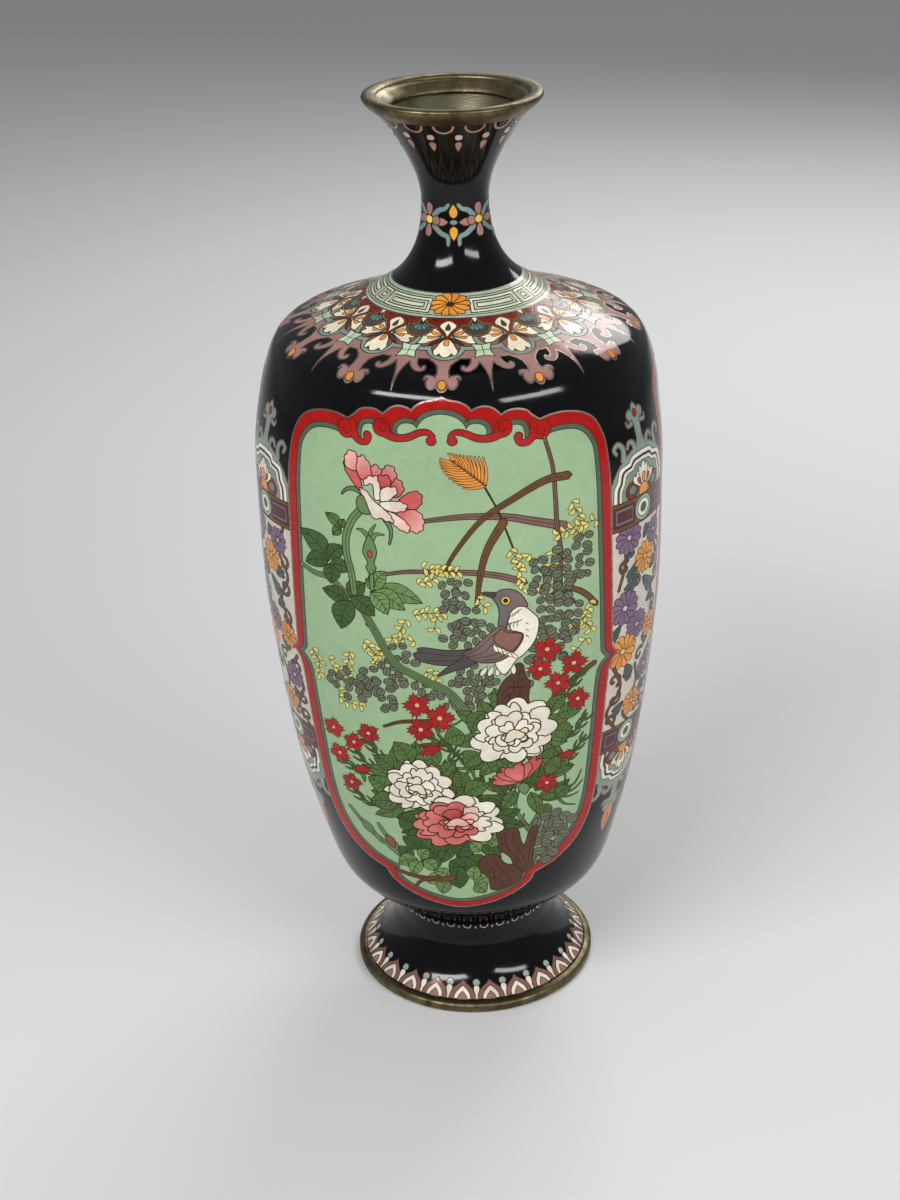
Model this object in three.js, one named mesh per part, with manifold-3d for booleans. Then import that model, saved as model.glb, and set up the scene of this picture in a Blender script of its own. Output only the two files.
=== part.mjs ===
// A cloisonne vase: a copper body with a soldered neck and foot, enamel laid on the copper in
// separate fields, and brass mounts on the lip and the foot. Millimetres, +Z up.
// The origin is the centre of the box round the vase, on the surface it stands on, and the front
// panel faces -Y. The turning axis is a little in front of the origin, because the belly has
// three corners and one of them points back.
import * as THREE from 'three';
import { mergeVertices } from 'three/addons/utils/BufferGeometryUtils.js';
import Module from 'manifold-3d';

const wasm = await Module();
wasm.setup();

// Driving dimensions
const HEIGHT = 305;
const FOOT_RADIUS = 41.6;
const STEM_RADIUS = 27.2;
const BODY_RADIUS = 62.4;
const SHOULDER_RADIUS = 28;
const SHOULDER_HEIGHT = 244.2;
const NECK_BASE_RADIUS = 19.8;
const NECK_BASE_HEIGHT = 249.4;
const NECK_RADIUS = 10.2;
const LIP_RADIUS = 27.2;
const MOUTH_RADIUS = 22.6;
const ENAMEL = 1.0;
const COPPER = 1.2;
const COUNTER_ENAMEL = 0.7;
const GAP = 0.3;
const SEGMENTS = 24;
const PANEL_COUNT = 3;
const FRAME_WIDTH = 3;

// The belly is a rounded triangle in section: flattened under each large panel and fuller at
// the three corners between them. It fades to a circle at the foot and on the shoulder.
const LOBE_DEPTH = 0.075;
const LOBE_BOTTOM = 0.1 * HEIGHT;
const LOBE_RISE = 0.22 * HEIGHT;
const LOBE_TOP = 0.755 * HEIGHT;
const LOBE_FALL = 0.12 * HEIGHT;

function lobeStrength(height) {
  const rise = THREE.MathUtils.smoothstep(height, LOBE_BOTTOM, LOBE_BOTTOM + LOBE_RISE);
  const fall = 1 - THREE.MathUtils.smoothstep(height, LOBE_TOP - LOBE_FALL, LOBE_TOP);
  return LOBE_DEPTH * rise * fall;
}

function lobeFactor(angle, height) {
  return 1 - lobeStrength(height) * Math.cos(PANEL_COUNT * angle);
}

// Meridians of the enamelled surface, each from its lower end to its upper end
const footCurve = new THREE.SplineCurve([
  new THREE.Vector2(38.6, 4.1),
  new THREE.Vector2(33.4, 9),
  new THREE.Vector2(29.6, 15),
  new THREE.Vector2(STEM_RADIUS, 22.6),
  new THREE.Vector2(28, 28),
]);
const bodyCurve = new THREE.SplineCurve([
  new THREE.Vector2(28.6, 29),
  new THREE.Vector2(37.5, 36.5),
  new THREE.Vector2(45.5, 45),
  new THREE.Vector2(50, 61),
  new THREE.Vector2(54, 84),
  new THREE.Vector2(57.7, 110),
  new THREE.Vector2(61, 141),
  new THREE.Vector2(BODY_RADIUS, 175),
  new THREE.Vector2(BODY_RADIUS, 205),
  new THREE.Vector2(60.4, 223),
  new THREE.Vector2(55.4, 233.6),
  new THREE.Vector2(41.5, 238.8),
  new THREE.Vector2(SHOULDER_RADIUS, SHOULDER_HEIGHT),
]);
const ringCurve = new THREE.SplineCurve([
  new THREE.Vector2(SHOULDER_RADIUS - GAP, SHOULDER_HEIGHT + 0.2),
  new THREE.Vector2(NECK_BASE_RADIUS + GAP, NECK_BASE_HEIGHT - 0.4),
]);
const neckCurve = new THREE.SplineCurve([
  new THREE.Vector2(NECK_BASE_RADIUS - 0.4, NECK_BASE_HEIGHT + 0.2),
  new THREE.Vector2(15.4, 254),
  new THREE.Vector2(12.2, 260.5),
  new THREE.Vector2(NECK_RADIUS, 271),
  new THREE.Vector2(11.6, 281),
  new THREE.Vector2(15.4, 289),
  new THREE.Vector2(22.3, 299.2),
]);

const bodyPoints = bodyCurve.getPoints(12);

// The same line moved towards the inside of the vase, for the layers under the enamel
function inward(points, depth) {
  return points.map((point, i) => {
    const before = points[Math.max(i - 1, 0)];
    const after = points[Math.min(i + 1, points.length - 1)];
    const along = after.clone().sub(before).normalize();
    return new THREE.Vector2(point.x - along.y * depth, point.y + along.x * depth);
  });
}

// Closed lathe section between two depths below a meridian
function layer(points, outerDepth, innerDepth) {
  const outer = inward(points, outerDepth);
  const inner = inward(points, innerDepth).reverse();
  return [...outer, ...inner, outer[0].clone()];
}

// Revolved about +Z. A lobed piece follows the rounded triangle of the belly.
function turned(section, lobed = false) {
  const geometry = new THREE.LatheGeometry(section, SEGMENTS);
  geometry.rotateX(Math.PI / 2);
  if (lobed) {
    const position = geometry.attributes.position;
    for (let i = 0; i < position.count; i += 1) {
      const [x, y, z] = [position.getX(i), position.getY(i), position.getZ(i)];
      const factor = lobeFactor(Math.atan2(x, -y), z);
      position.setXY(i, x * factor, y * factor);
    }
  }
  return geometry;
}

function toSolid(geometry) {
  const bare = geometry.clone();
  bare.deleteAttribute('normal');
  bare.deleteAttribute('uv');
  const merged = mergeVertices(bare);
  const corners = [];
  for (let i = 0; i < merged.index.count; i += 3) {
    const [a, b, c] = merged.index.array.slice(i, i + 3);
    if (a !== b && b !== c && c !== a) corners.push(a, b, c);
  }
  return new wasm.Manifold(new wasm.Mesh({
    numProp: 3,
    vertProperties: new Float32Array(merged.attributes.position.array),
    triVerts: new Uint32Array(corners),
  }));
}

function toGeometry(solid) {
  const mesh = solid.getMesh();
  const geometry = new THREE.BufferGeometry();
  geometry.setAttribute('position', new THREE.BufferAttribute(mesh.vertProperties, 3));
  geometry.setIndex(new THREE.BufferAttribute(mesh.triVerts, 1));
  geometry.computeVertexNormals();
  return geometry;
}

// Lobed solid inside a meridian moved in by depth, run straight past its ends by overrun
function lobedCore(points, depth, overrun) {
  const line = inward(points, depth);
  const [first, last] = [line[0], line[line.length - 1]];
  const below = first.y - overrun;
  const above = last.y + overrun;
  const section = [[0, below], [first.x, below], ...line.map((p) => [p.x, p.y]), [last.x, above], [0, above]];
  return toSolid(turned(section.map(([r, h]) => new THREE.Vector2(r, h)), true));
}

// Lobed skin, open at both ends, between two depths below a meridian
function lobedSkin(points, outerDepth, innerDepth) {
  return lobedCore(points, outerDepth, 0).subtract(lobedCore(points, innerDepth, 5));
}

// Radius of the enamelled belly, before the lobes, at a height
function bellyRadius(height) {
  const upper = bodyPoints.findIndex((point) => point.y >= height);
  if (upper <= 0) return bodyPoints[0].x;
  const [low, high] = [bodyPoints[upper - 1], bodyPoints[upper]];
  const t = (height - low.y) / (high.y - low.y);
  return low.x + t * (high.x - low.x);
}

// Half outline, from its top to its bottom on the centre line, completed by its mirror image
function symmetricShape(path) {
  const half = path.getPoints(2);
  const mirrored = half.slice(1, -1).reverse().map((point) => new THREE.Vector2(-point.x, point.y));
  return new THREE.Shape([...half, ...mirrored]);
}

// Extents of the two field outlines, which are drawn as arc length across and height up
const PANEL = { halfWidth: 54.5, middle: 140.5, halfHeight: 91.5 };
const STRIP = { halfWidth: 16, middle: 150, halfHeight: 69 };

// Functions that draw a coordinate of an outline further in, towards its middle, by inset
function drawnIn(field, inset) {
  const across = 1 - inset / field.halfWidth;
  const up = 1 - inset / field.halfHeight;
  return {
    x: (value) => value * across,
    y: (value) => field.middle + (value - field.middle) * up,
  };
}

// A large panel: cusped top, round shoulders, a point at each side and a lobed lower end
function panelShape(inset) {
  const { x, y } = drawnIn(PANEL, inset);
  const path = new THREE.Path();
  path.moveTo(x(0), y(229.5));
  path.quadraticCurveTo(x(5), y(228.4), x(9), y(226));
  path.quadraticCurveTo(x(17), y(228), x(24), y(223.5));
  path.quadraticCurveTo(x(31), y(224.5), x(36), y(222));
  path.quadraticCurveTo(x(49.5), y(221), x(50.8), y(206));
  path.lineTo(x(52), y(147));
  path.quadraticCurveTo(x(52), y(143), x(PANEL.halfWidth), y(PANEL.middle));
  path.quadraticCurveTo(x(50.8), y(137), x(50.3), y(131));
  path.lineTo(x(47), y(96));
  path.quadraticCurveTo(x(45), y(67), x(26), y(60.5));
  path.quadraticCurveTo(x(19), y(48.5), x(0), y(47.2));
  return symmetricShape(path);
}

// A corner strip: a long upright field with a crest at both ends
function stripShape(inset) {
  const { x, y } = drawnIn(STRIP, inset);
  const path = new THREE.Path();
  path.moveTo(x(0), y(219));
  path.quadraticCurveTo(x(5), y(216), x(3.6), y(211));
  path.quadraticCurveTo(x(7), y(206), x(10), y(208));
  path.quadraticCurveTo(x(14), y(205), x(STRIP.halfWidth), y(192));
  path.lineTo(x(STRIP.halfWidth), y(104));
  path.quadraticCurveTo(x(14), y(92), x(10), y(91));
  path.quadraticCurveTo(x(7), y(94), x(3.6), y(88));
  path.quadraticCurveTo(x(4.5), y(84), x(0), y(81));
  return symmetricShape(path);
}

// A prism with radial sides over an outline drawn flat: across is arc length, up is height
function radialPrism(shape, centreAngle) {
  const innerRadius = 16;
  const outerRadius = 130;
  const geometry = new THREE.ExtrudeGeometry(shape, { depth: 1, bevelEnabled: false });
  const position = geometry.attributes.position;
  for (let i = 0; i < position.count; i += 1) {
    const height = position.getY(i);
    const angle = centreAngle + position.getX(i) / bellyRadius(height);
    const radius = innerRadius + position.getZ(i) * (outerRadius - innerRadius);
    position.setXYZ(i, radius * Math.sin(angle), -radius * Math.cos(angle), height);
  }
  return toSolid(geometry);
}

// Twelve lappets in plan, each with a pendant at its middle and a spike between neighbours
const LAPPET_COUNT = 12;
const LAPPET = [[0, 55.2], [2.6, 53.8], [5, 48.5], [9, 45], [12.6, 46.5], [15, 54.6]];

function collarPrism(outset) {
  const step = (2 * Math.PI) / LAPPET_COUNT;
  const points = [];
  for (let lappet = 0; lappet < LAPPET_COUNT; lappet += 1) {
    const mirrored = LAPPET.slice(1, -1).reverse().map(([angle, radius]) => [-angle, radius]);
    for (const [degrees, radius] of [...mirrored, ...LAPPET]) {
      const angle = lappet * step + THREE.MathUtils.degToRad(degrees);
      const reach = radius + outset;
      points.push(new THREE.Vector2(reach * Math.sin(angle), -reach * Math.cos(angle)));
    }
  }
  const depth = 60;
  const geometry = new THREE.ExtrudeGeometry(new THREE.Shape(points), { depth, bevelEnabled: false });
  geometry.translate(0, 0, 210);
  return toSolid(geometry);
}

const materials = {
  copper: new THREE.MeshStandardMaterial({ color: 0x9a5a3a, roughness: 0.45, metalness: 1 }),
  brass: new THREE.MeshStandardMaterial({ color: 0x6e6248, roughness: 0.42, metalness: 1 }),
  blackEnamel: new THREE.MeshStandardMaterial({ color: 0x08080c, roughness: 0.12, metalness: 0 }),
  redEnamel: new THREE.MeshStandardMaterial({ color: 0x8c1410, roughness: 0.15, metalness: 0 }),
  greenEnamel: new THREE.MeshStandardMaterial({ color: 0xa9cf9c, roughness: 0.15, metalness: 0 }),
  whiteEnamel: new THREE.MeshStandardMaterial({ color: 0xd8d2c4, roughness: 0.18, metalness: 0 }),
  mauveEnamel: new THREE.MeshStandardMaterial({ color: 0xa67f7a, roughness: 0.18, metalness: 0 }),
  counterEnamel: new THREE.MeshStandardMaterial({ color: 0x2c3a44, roughness: 0.4, metalness: 0 }),
};

const vase = new THREE.Group();

function addPiece(name, geometry, material) {
  const mesh = new THREE.Mesh(geometry, material);
  mesh.name = name;
  vase.add(mesh);
}

const PANEL_NAMES = ['front', 'right', 'left'];
const panelAngles = PANEL_NAMES.map((name, i) => (i * 2 * Math.PI) / PANEL_COUNT);
const cornerAngles = panelAngles.map((angle) => angle + Math.PI / PANEL_COUNT);

// Copper: the raised belly and shoulder, the neck and the hollow foot
const COPPER_TOP = ENAMEL + GAP;
const COPPER_INSIDE = COPPER_TOP + COPPER;

const copperLine = [...bodyPoints, new THREE.Vector2(NECK_BASE_RADIUS - 1.2, NECK_BASE_HEIGHT - 0.2)];

function addCopper() {
  const body = lobedSkin(copperLine, COPPER_TOP, COPPER_INSIDE);
  addPiece('copper_body', toGeometry(body), materials.copper);
  const neckLine = neckCurve.getSpacedPoints(6);
  addPiece('copper_neck', turned(layer(neckLine, COPPER_TOP, COPPER_INSIDE)), materials.copper);
  const footLine = footCurve.getSpacedPoints(4);
  addPiece('copper_foot', turned(layer(footLine, COPPER_TOP, COPPER_INSIDE)), materials.copper);
  const radius = STEM_RADIUS - COPPER_INSIDE - 2 * GAP;
  const disc = [[0, 26], [radius, 26], [radius, 26 + COPPER], [0, 26 + COPPER]];
  addPiece('base_plate', turned(disc.map(([r, h]) => new THREE.Vector2(r, h))), materials.copper);
}

// Thin enamel fired on the hidden side of the copper, which keeps the metal from warping
function addCounterEnamel() {
  const top = COPPER_INSIDE + GAP;
  const lining = lobedSkin(copperLine, top, top + COUNTER_ENAMEL);
  addPiece('counter_enamel_inside', toGeometry(lining), materials.counterEnamel);
  const radius = STEM_RADIUS - COPPER_INSIDE - 2 * GAP;
  const level = 26 - GAP;
  const disc = [[0, level - COUNTER_ENAMEL], [radius, level - COUNTER_ENAMEL], [radius, level], [0, level]];
  addPiece('counter_enamel_base', turned(disc.map(([r, h]) => new THREE.Vector2(r, h))), materials.counterEnamel);
}

// Brass mounts: a rolled ring on the lip and a flat-bottomed ring round the foot
function addMounts() {
  const lipSection = [
    [MOUTH_RADIUS, 299.4], [23.4, 299.8], [25.4, 301.6], [26.8, 303], [LIP_RADIUS, 304.2],
    [26.6, HEIGHT], [MOUTH_RADIUS + 1, HEIGHT], [MOUTH_RADIUS, 304.4], [21.6, 303.9],
    [19.4, 301.2], [20.6, 300.6], [MOUTH_RADIUS, 299.4],
  ];
  addPiece('rim_mount', turned(lipSection.map(([r, h]) => new THREE.Vector2(r, h))), materials.brass);
  const footSection = [
    [38.2, 0], [FOOT_RADIUS - 0.6, 0], [FOOT_RADIUS, 0.8], [FOOT_RADIUS, 2.6],
    [FOOT_RADIUS - 0.7, 3.3], [38.9, 3.5], [38.2, 2.6], [38.2, 0],
  ];
  addPiece('foot_rim_mount', turned(footSection.map(([r, h]) => new THREE.Vector2(r, h))), materials.brass);
}

function addRoundEnamels() {
  const footLine = footCurve.getSpacedPoints(4);
  const band = footLine.slice(0, 3);
  const stem = [footLine[2].clone().lerp(footLine[3], 0.08), ...footLine.slice(3)];
  addPiece('foot_petal_band', turned(layer(band, 0, ENAMEL)), materials.whiteEnamel);
  addPiece('foot_stem_enamel', turned(layer(stem, 0, ENAMEL)), materials.blackEnamel);
  addPiece('neck_enamel', turned(layer(neckCurve.getSpacedPoints(6), 0, ENAMEL)), materials.blackEnamel);
  addPiece('fret_ring_enamel', turned(layer(ringCurve.getPoints(1), 0, ENAMEL)), materials.greenEnamel);
}

// The belly enamel is one skin, cut into the framed panels, the corner strips, the collar of
// lappets and the black ground that is left above and below them
function addBellyEnamels() {
  const skin = lobedSkin(bodyPoints, 0, ENAMEL);
  let ground = skin.subtract(collarPrism(GAP));
  addPiece('collar_enamel', toGeometry(skin.intersect(collarPrism(0))), materials.mauveEnamel);
  panelAngles.forEach((angle, i) => {
    const outline = radialPrism(panelShape(0), angle);
    const frame = skin.intersect(outline).subtract(radialPrism(panelShape(FRAME_WIDTH), angle));
    const field = skin.intersect(radialPrism(panelShape(FRAME_WIDTH + GAP), angle));
    addPiece(`panel_frame_${PANEL_NAMES[i]}`, toGeometry(frame), materials.redEnamel);
    addPiece(`panel_enamel_${PANEL_NAMES[i]}`, toGeometry(field), materials.greenEnamel);
  });
  const cornerNames = ['front_right', 'back', 'front_left'];
  cornerAngles.forEach((angle, i) => {
    let strip = skin.intersect(radialPrism(stripShape(0), angle));
    for (const panelAngle of panelAngles) {
      strip = strip.subtract(radialPrism(panelShape(-GAP), panelAngle));
    }
    addPiece(`corner_strip_${cornerNames[i]}`, toGeometry(strip), materials.whiteEnamel);
    ground = ground.subtract(radialPrism(stripShape(-GAP), angle));
  });
  for (const angle of panelAngles) {
    ground = ground.subtract(radialPrism(panelShape(-GAP), angle));
  }
  const [first, second] = ground.decompose().sort((a, b) => b.volume() - a.volume());
  const firstIsUpper = first.boundingBox().max[2] > second.boundingBox().max[2];
  const [upper, lower] = firstIsUpper ? [first, second] : [second, first];
  addPiece('shoulder_ground_enamel', toGeometry(upper), materials.blackEnamel);
  addPiece('lower_ground_enamel', toGeometry(lower), materials.blackEnamel);
}

addCopper();
addCounterEnamel();
addMounts();
addRoundEnamels();
addBellyEnamels();

const box = new THREE.Box3().setFromObject(vase);
vase.position.y = -(box.min.y + box.max.y) / 2;

export default vase;
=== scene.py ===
"""Looks of the cloisonne vase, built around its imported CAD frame.

Every decorated field is drawn flat as an ordered list of cells, each an outline with a metal wire
round it. The cells are cut against each other, laid on the curved surface of the vase, and given
a thickness, so the enamel and the flush wires are separate closed pieces of mesh.
Flat points are complex numbers in millimetres: across + 1j * up.
"""
import math
import random

import bpy
import numpy as np
from mathutils import Matrix, Vector
from mathutils.geometry import delaunay_2d_cdt


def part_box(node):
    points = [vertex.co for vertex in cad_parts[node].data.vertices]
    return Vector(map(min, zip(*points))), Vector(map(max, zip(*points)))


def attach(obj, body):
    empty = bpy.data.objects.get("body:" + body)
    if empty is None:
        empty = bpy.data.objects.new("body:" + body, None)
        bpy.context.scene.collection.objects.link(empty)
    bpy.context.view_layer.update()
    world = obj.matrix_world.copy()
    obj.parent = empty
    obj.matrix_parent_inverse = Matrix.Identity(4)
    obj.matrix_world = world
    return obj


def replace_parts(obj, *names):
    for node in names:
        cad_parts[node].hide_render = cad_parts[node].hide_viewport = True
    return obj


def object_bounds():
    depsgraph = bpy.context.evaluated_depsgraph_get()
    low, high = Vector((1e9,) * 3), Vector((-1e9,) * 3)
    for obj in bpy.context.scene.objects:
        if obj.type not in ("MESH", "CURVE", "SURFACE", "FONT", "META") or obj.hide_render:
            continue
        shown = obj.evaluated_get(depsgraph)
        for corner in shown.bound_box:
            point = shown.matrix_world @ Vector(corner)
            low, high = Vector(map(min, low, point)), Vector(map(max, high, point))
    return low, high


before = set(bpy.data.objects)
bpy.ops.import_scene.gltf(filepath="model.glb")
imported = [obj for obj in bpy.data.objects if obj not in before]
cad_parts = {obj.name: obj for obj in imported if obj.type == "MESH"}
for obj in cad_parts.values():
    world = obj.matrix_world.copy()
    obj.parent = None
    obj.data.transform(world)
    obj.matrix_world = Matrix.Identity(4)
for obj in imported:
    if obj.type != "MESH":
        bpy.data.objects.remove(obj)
cad_box = [list(corner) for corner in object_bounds()]

MM = 0.001
rim_low, rim_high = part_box("rim_mount")
AXIS_X = (rim_low.x + rim_high.x) / 2
AXIS_Y = (rim_low.y + rim_high.y) / 2
HEIGHT = cad_box[1][2] / MM
SCALE = HEIGHT / 305.0

# ---------------------------------------------------------------- the surface of the vase


class Profile:
    """A smooth meridian through (height, radius) knots, measured along its length."""

    def __init__(self, knots, start, softness, steps=2400):
        knots = np.array(knots, float) * SCALE
        chord = np.concatenate([[0], np.cumsum(np.hypot(*np.diff(knots, axis=0).T))])
        fine = np.linspace(0, chord[-1], steps)
        height = self.hermite(chord, knots[:, 0], fine)
        radius = self.hermite(chord, knots[:, 1], fine)
        height, radius = (self.soften(c, softness * steps / chord[-1]) for c in (height, radius))
        length = np.concatenate([[0], np.cumsum(np.hypot(np.diff(height), np.diff(radius)))])
        self.s = start + length
        self.height = height
        self.radius = radius
        self.first, self.last = self.s[0], self.s[-1]

    @staticmethod
    def hermite(knots, values, at):
        """Cubic through the values, with slopes that don't overshoot between them."""
        gaps = np.diff(knots)
        slopes = np.diff(values) / gaps
        tangents = np.concatenate([[slopes[0]], np.zeros(len(values) - 2), [slopes[-1]]])
        for i in range(1, len(values) - 1):
            if slopes[i - 1] * slopes[i] > 0:
                tangents[i] = 2 * slopes[i - 1] * slopes[i] / (slopes[i - 1] + slopes[i])
        i = np.clip(np.searchsorted(knots, at) - 1, 0, len(gaps) - 1)
        t = (at - knots[i]) / gaps[i]
        h00 = (1 + 2 * t) * (1 - t) ** 2
        h01 = t * t * (3 - 2 * t)
        h10 = t * (1 - t) ** 2
        h11 = t * t * (t - 1)
        low, high = values[i], values[i + 1]
        return h00 * low + h01 * high + gaps[i] * (h10 * tangents[i] + h11 * tangents[i + 1])

    @staticmethod
    def soften(curve, sigma):
        """Rounds the curve off over sigma samples and keeps its ends where they are."""
        if sigma < 1:
            return curve
        reach = int(3 * sigma)
        kernel = np.exp(-0.5 * (np.arange(-reach, reach + 1) / sigma) ** 2)
        kernel /= kernel.sum()
        before = 2 * curve[0] - curve[reach:0:-1]
        after = 2 * curve[-1] - curve[-2 : -reach - 2 : -1]
        return np.convolve(np.concatenate([before, curve, after]), kernel, "valid")

    def at(self, s):
        """Height and radius at a length along the meridian."""
        return np.interp(s, self.s, self.height), np.interp(s, self.s, self.radius)


LOBE_DEPTH = 0.075


def lobe_factor(theta, height):
    """The belly is a rounded triangle: flatter at the panels, fuller at the three corners."""
    level = height / HEIGHT
    rise = np.clip((level - 0.10) / 0.22, 0, 1)
    fall = np.clip((0.755 - level) / 0.12, 0, 1)
    rise, fall = (t * t * (3 - 2 * t) for t in (rise, fall))
    return 1 - LOBE_DEPTH * rise * fall * np.cos(3 * theta)


def surface_point(profile, theta, s):
    """Points in metres on the surface, theta from the front panel's middle towards +X."""
    height, radius = profile.at(s)
    reach = radius * lobe_factor(theta, height)
    x = AXIS_X + reach * np.sin(theta) * MM
    y = AXIS_Y - reach * np.cos(theta) * MM
    return np.stack([x, y, height * MM + 0 * x], -1)


def surface_normal(profile, theta, s):
    """Unit normals that point outwards, from differences along and across the surface."""
    nudge = 1e-3
    step = 0.25
    low = np.clip(s - step, profile.first, profile.last)
    high = np.clip(s + step, profile.first, profile.last)
    across = surface_point(profile, theta + nudge, s) - surface_point(profile, theta - nudge, s)
    along = surface_point(profile, theta, high) - surface_point(profile, theta, low)
    normal = np.cross(across, along)
    return normal / np.maximum(np.linalg.norm(normal, axis=-1, keepdims=True), 1e-12)


# Heights and radii of the enamelled surface, in millimetres at the vase's full size of 305
BODY = Profile(
    [(28.8, 28.8), (33, 33.1), (36.8, 37.7), (40.4, 42.4), (45.4, 45.8), (51, 47.7), (62.8, 50.3),
     (80.5, 53.5), (98.3, 56.1), (116, 58.5), (134, 60.35), (152, 61.8), (170, 62.3), (188, 62.3),
     (206, 62.4), (217.9, 61.6), (226.5, 59.5), (231, 57.5), (234.2, 54.3), (237, 47),
     (240.2, 37.9), (244.3, 28), (249.4, 19.9)],
    start=34.0, softness=2.2)
NECK = Profile(
    [(249.4, 19.9), (252.2, 16.9), (256.5, 13.9), (261.5, 11.8), (267, 10.6), (273, 10.2),
     (279, 11.1), (285, 13.4), (291, 16.7), (296, 20), (299.6, 22.6)],
    start=289.0, softness=1.2)
FOOT = Profile(
    [(3.5, 39.2), (6, 36.2), (10, 32.3), (15.2, 29.2), (20.6, 27.4), (25.9, 27.3), (28.8, 28.8)],
    start=5.0, softness=0.8)

# ---------------------------------------------------------------- flat outlines


def smooth(points, per_edge=6, closed=True):
    """A Catmull-Rom curve through a few points."""
    points = np.array(points, complex)
    count = len(points)
    spans = count if closed else count - 1
    out = []
    for i in range(spans):
        if closed:
            p0, p1, p2, p3 = (points[(i + k) % count] for k in (-1, 0, 1, 2))
        else:
            p1, p2 = points[i], points[i + 1]
            p0 = points[i - 1] if i else 2 * p1 - p2
            p3 = points[i + 2] if i + 2 < count else 2 * p2 - p1
        for t in np.arange(per_edge) / per_edge:
            out.append(0.5 * (2 * p1 + (p2 - p0) * t + (2 * p0 - 5 * p1 + 4 * p2 - p3) * t * t
                              + (3 * p1 - p0 - 3 * p2 + p3) * t ** 3))
    if not closed:
        out.append(points[-1])
    return np.array(out)


def ccw(outline):
    """The outline, counterclockwise."""
    outline = np.asarray(outline, complex)
    area = (np.conj(outline) * np.roll(outline, -1)).imag.sum()
    return outline if area > 0 else outline[::-1]


def offset(outline, distance):
    """The outline moved outwards by distance, with its sharp corners cut a little short."""
    ahead = np.roll(outline, -1) - outline
    ahead /= np.maximum(abs(ahead), 1e-9)
    behind = np.roll(ahead, 1)
    bisector = -1j * (ahead + behind)
    length = abs(bisector)
    unit = np.where(length > 1e-6, bisector / np.maximum(length, 1e-6), -1j * ahead)
    miter = np.minimum(1 / np.maximum(length / 2, 0.1), 2.0)
    return outline + unit * miter * distance


def densify(outline, step):
    """Adds points so that no edge of a closed outline is longer than step."""
    out = []
    for a, b in zip(outline, np.roll(outline, -1)):
        pieces = max(1, int(math.ceil(abs(b - a) / step)))
        out.extend(a + (b - a) * np.arange(pieces) / pieces)
    return np.array(out)


def stroke(points, width, end_width, per_edge=6):
    """A ribbon with blunt tips along a smooth path, from width to end_width."""
    path = smooth(points, per_edge, closed=False)
    along = np.gradient(path)
    along /= np.maximum(abs(along), 1e-9)
    half = np.linspace(width, end_width, len(path)) / 2
    left = path + 1j * along * half
    right = path - 1j * along * half
    tip = path[-1] + along[-1] * half[-1] * 0.9
    tail = path[0] - along[0] * half[0] * 0.9
    return np.concatenate([right, [tip], left[::-1], [tail]])


def leaf(length, width, widest, points=9):
    """A pointed leaf or petal from 0 along +1, widest at that share of its length."""
    t = np.linspace(0, 1, points)
    power = math.log(0.5) / math.log(widest)
    half = width / 2 * np.sin(math.pi * t ** power) ** 0.85
    upper = length * t + 1j * half
    return np.concatenate([np.conj(upper), upper[-2:0:-1]])


def drop(length, width, points=10):
    """A round-ended petal: a point at 0 and a full round end at +length."""
    angle = np.linspace(0, math.pi, points)
    half = width / 2 * np.sin(angle) * np.sin(angle / 2) ** 1.4 * 1.25
    along = length * (1 - np.cos(angle)) / 2
    upper = along + 1j * half
    return np.concatenate([np.conj(upper), upper[-2:0:-1]])


def disc(radius, points=16):
    """A circle round 0."""
    return radius * np.exp(2j * math.pi * np.arange(points) / points)


def turn(degrees):
    """The factor that turns a point round 0."""
    return np.exp(1j * math.radians(degrees))


def to_side(points, side):
    """Points as drawn where side is 1, and mirrored in the upright centre line where it is -1."""
    points = np.asarray(points, complex)
    return side * points.real + 1j * points.imag


def ellipse(across, high, points=16):
    """An ellipse round 0, from its two half widths."""
    circle = disc(1, points)
    return circle.real * across + 1j * high * circle.imag


# ---------------------------------------------------------------- fields of cells


def linear(colour):
    """Linear light values of an sRGB colour given as 0 to 255."""
    c = np.asarray(colour, float) / 255
    return np.where(c <= 0.04045, c / 12.92, ((c + 0.055) / 1.055) ** 2.4)


CHART_RADIUS = 60.0  # the body's radius, near enough, so that a chart's triangles keep their shape


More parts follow.
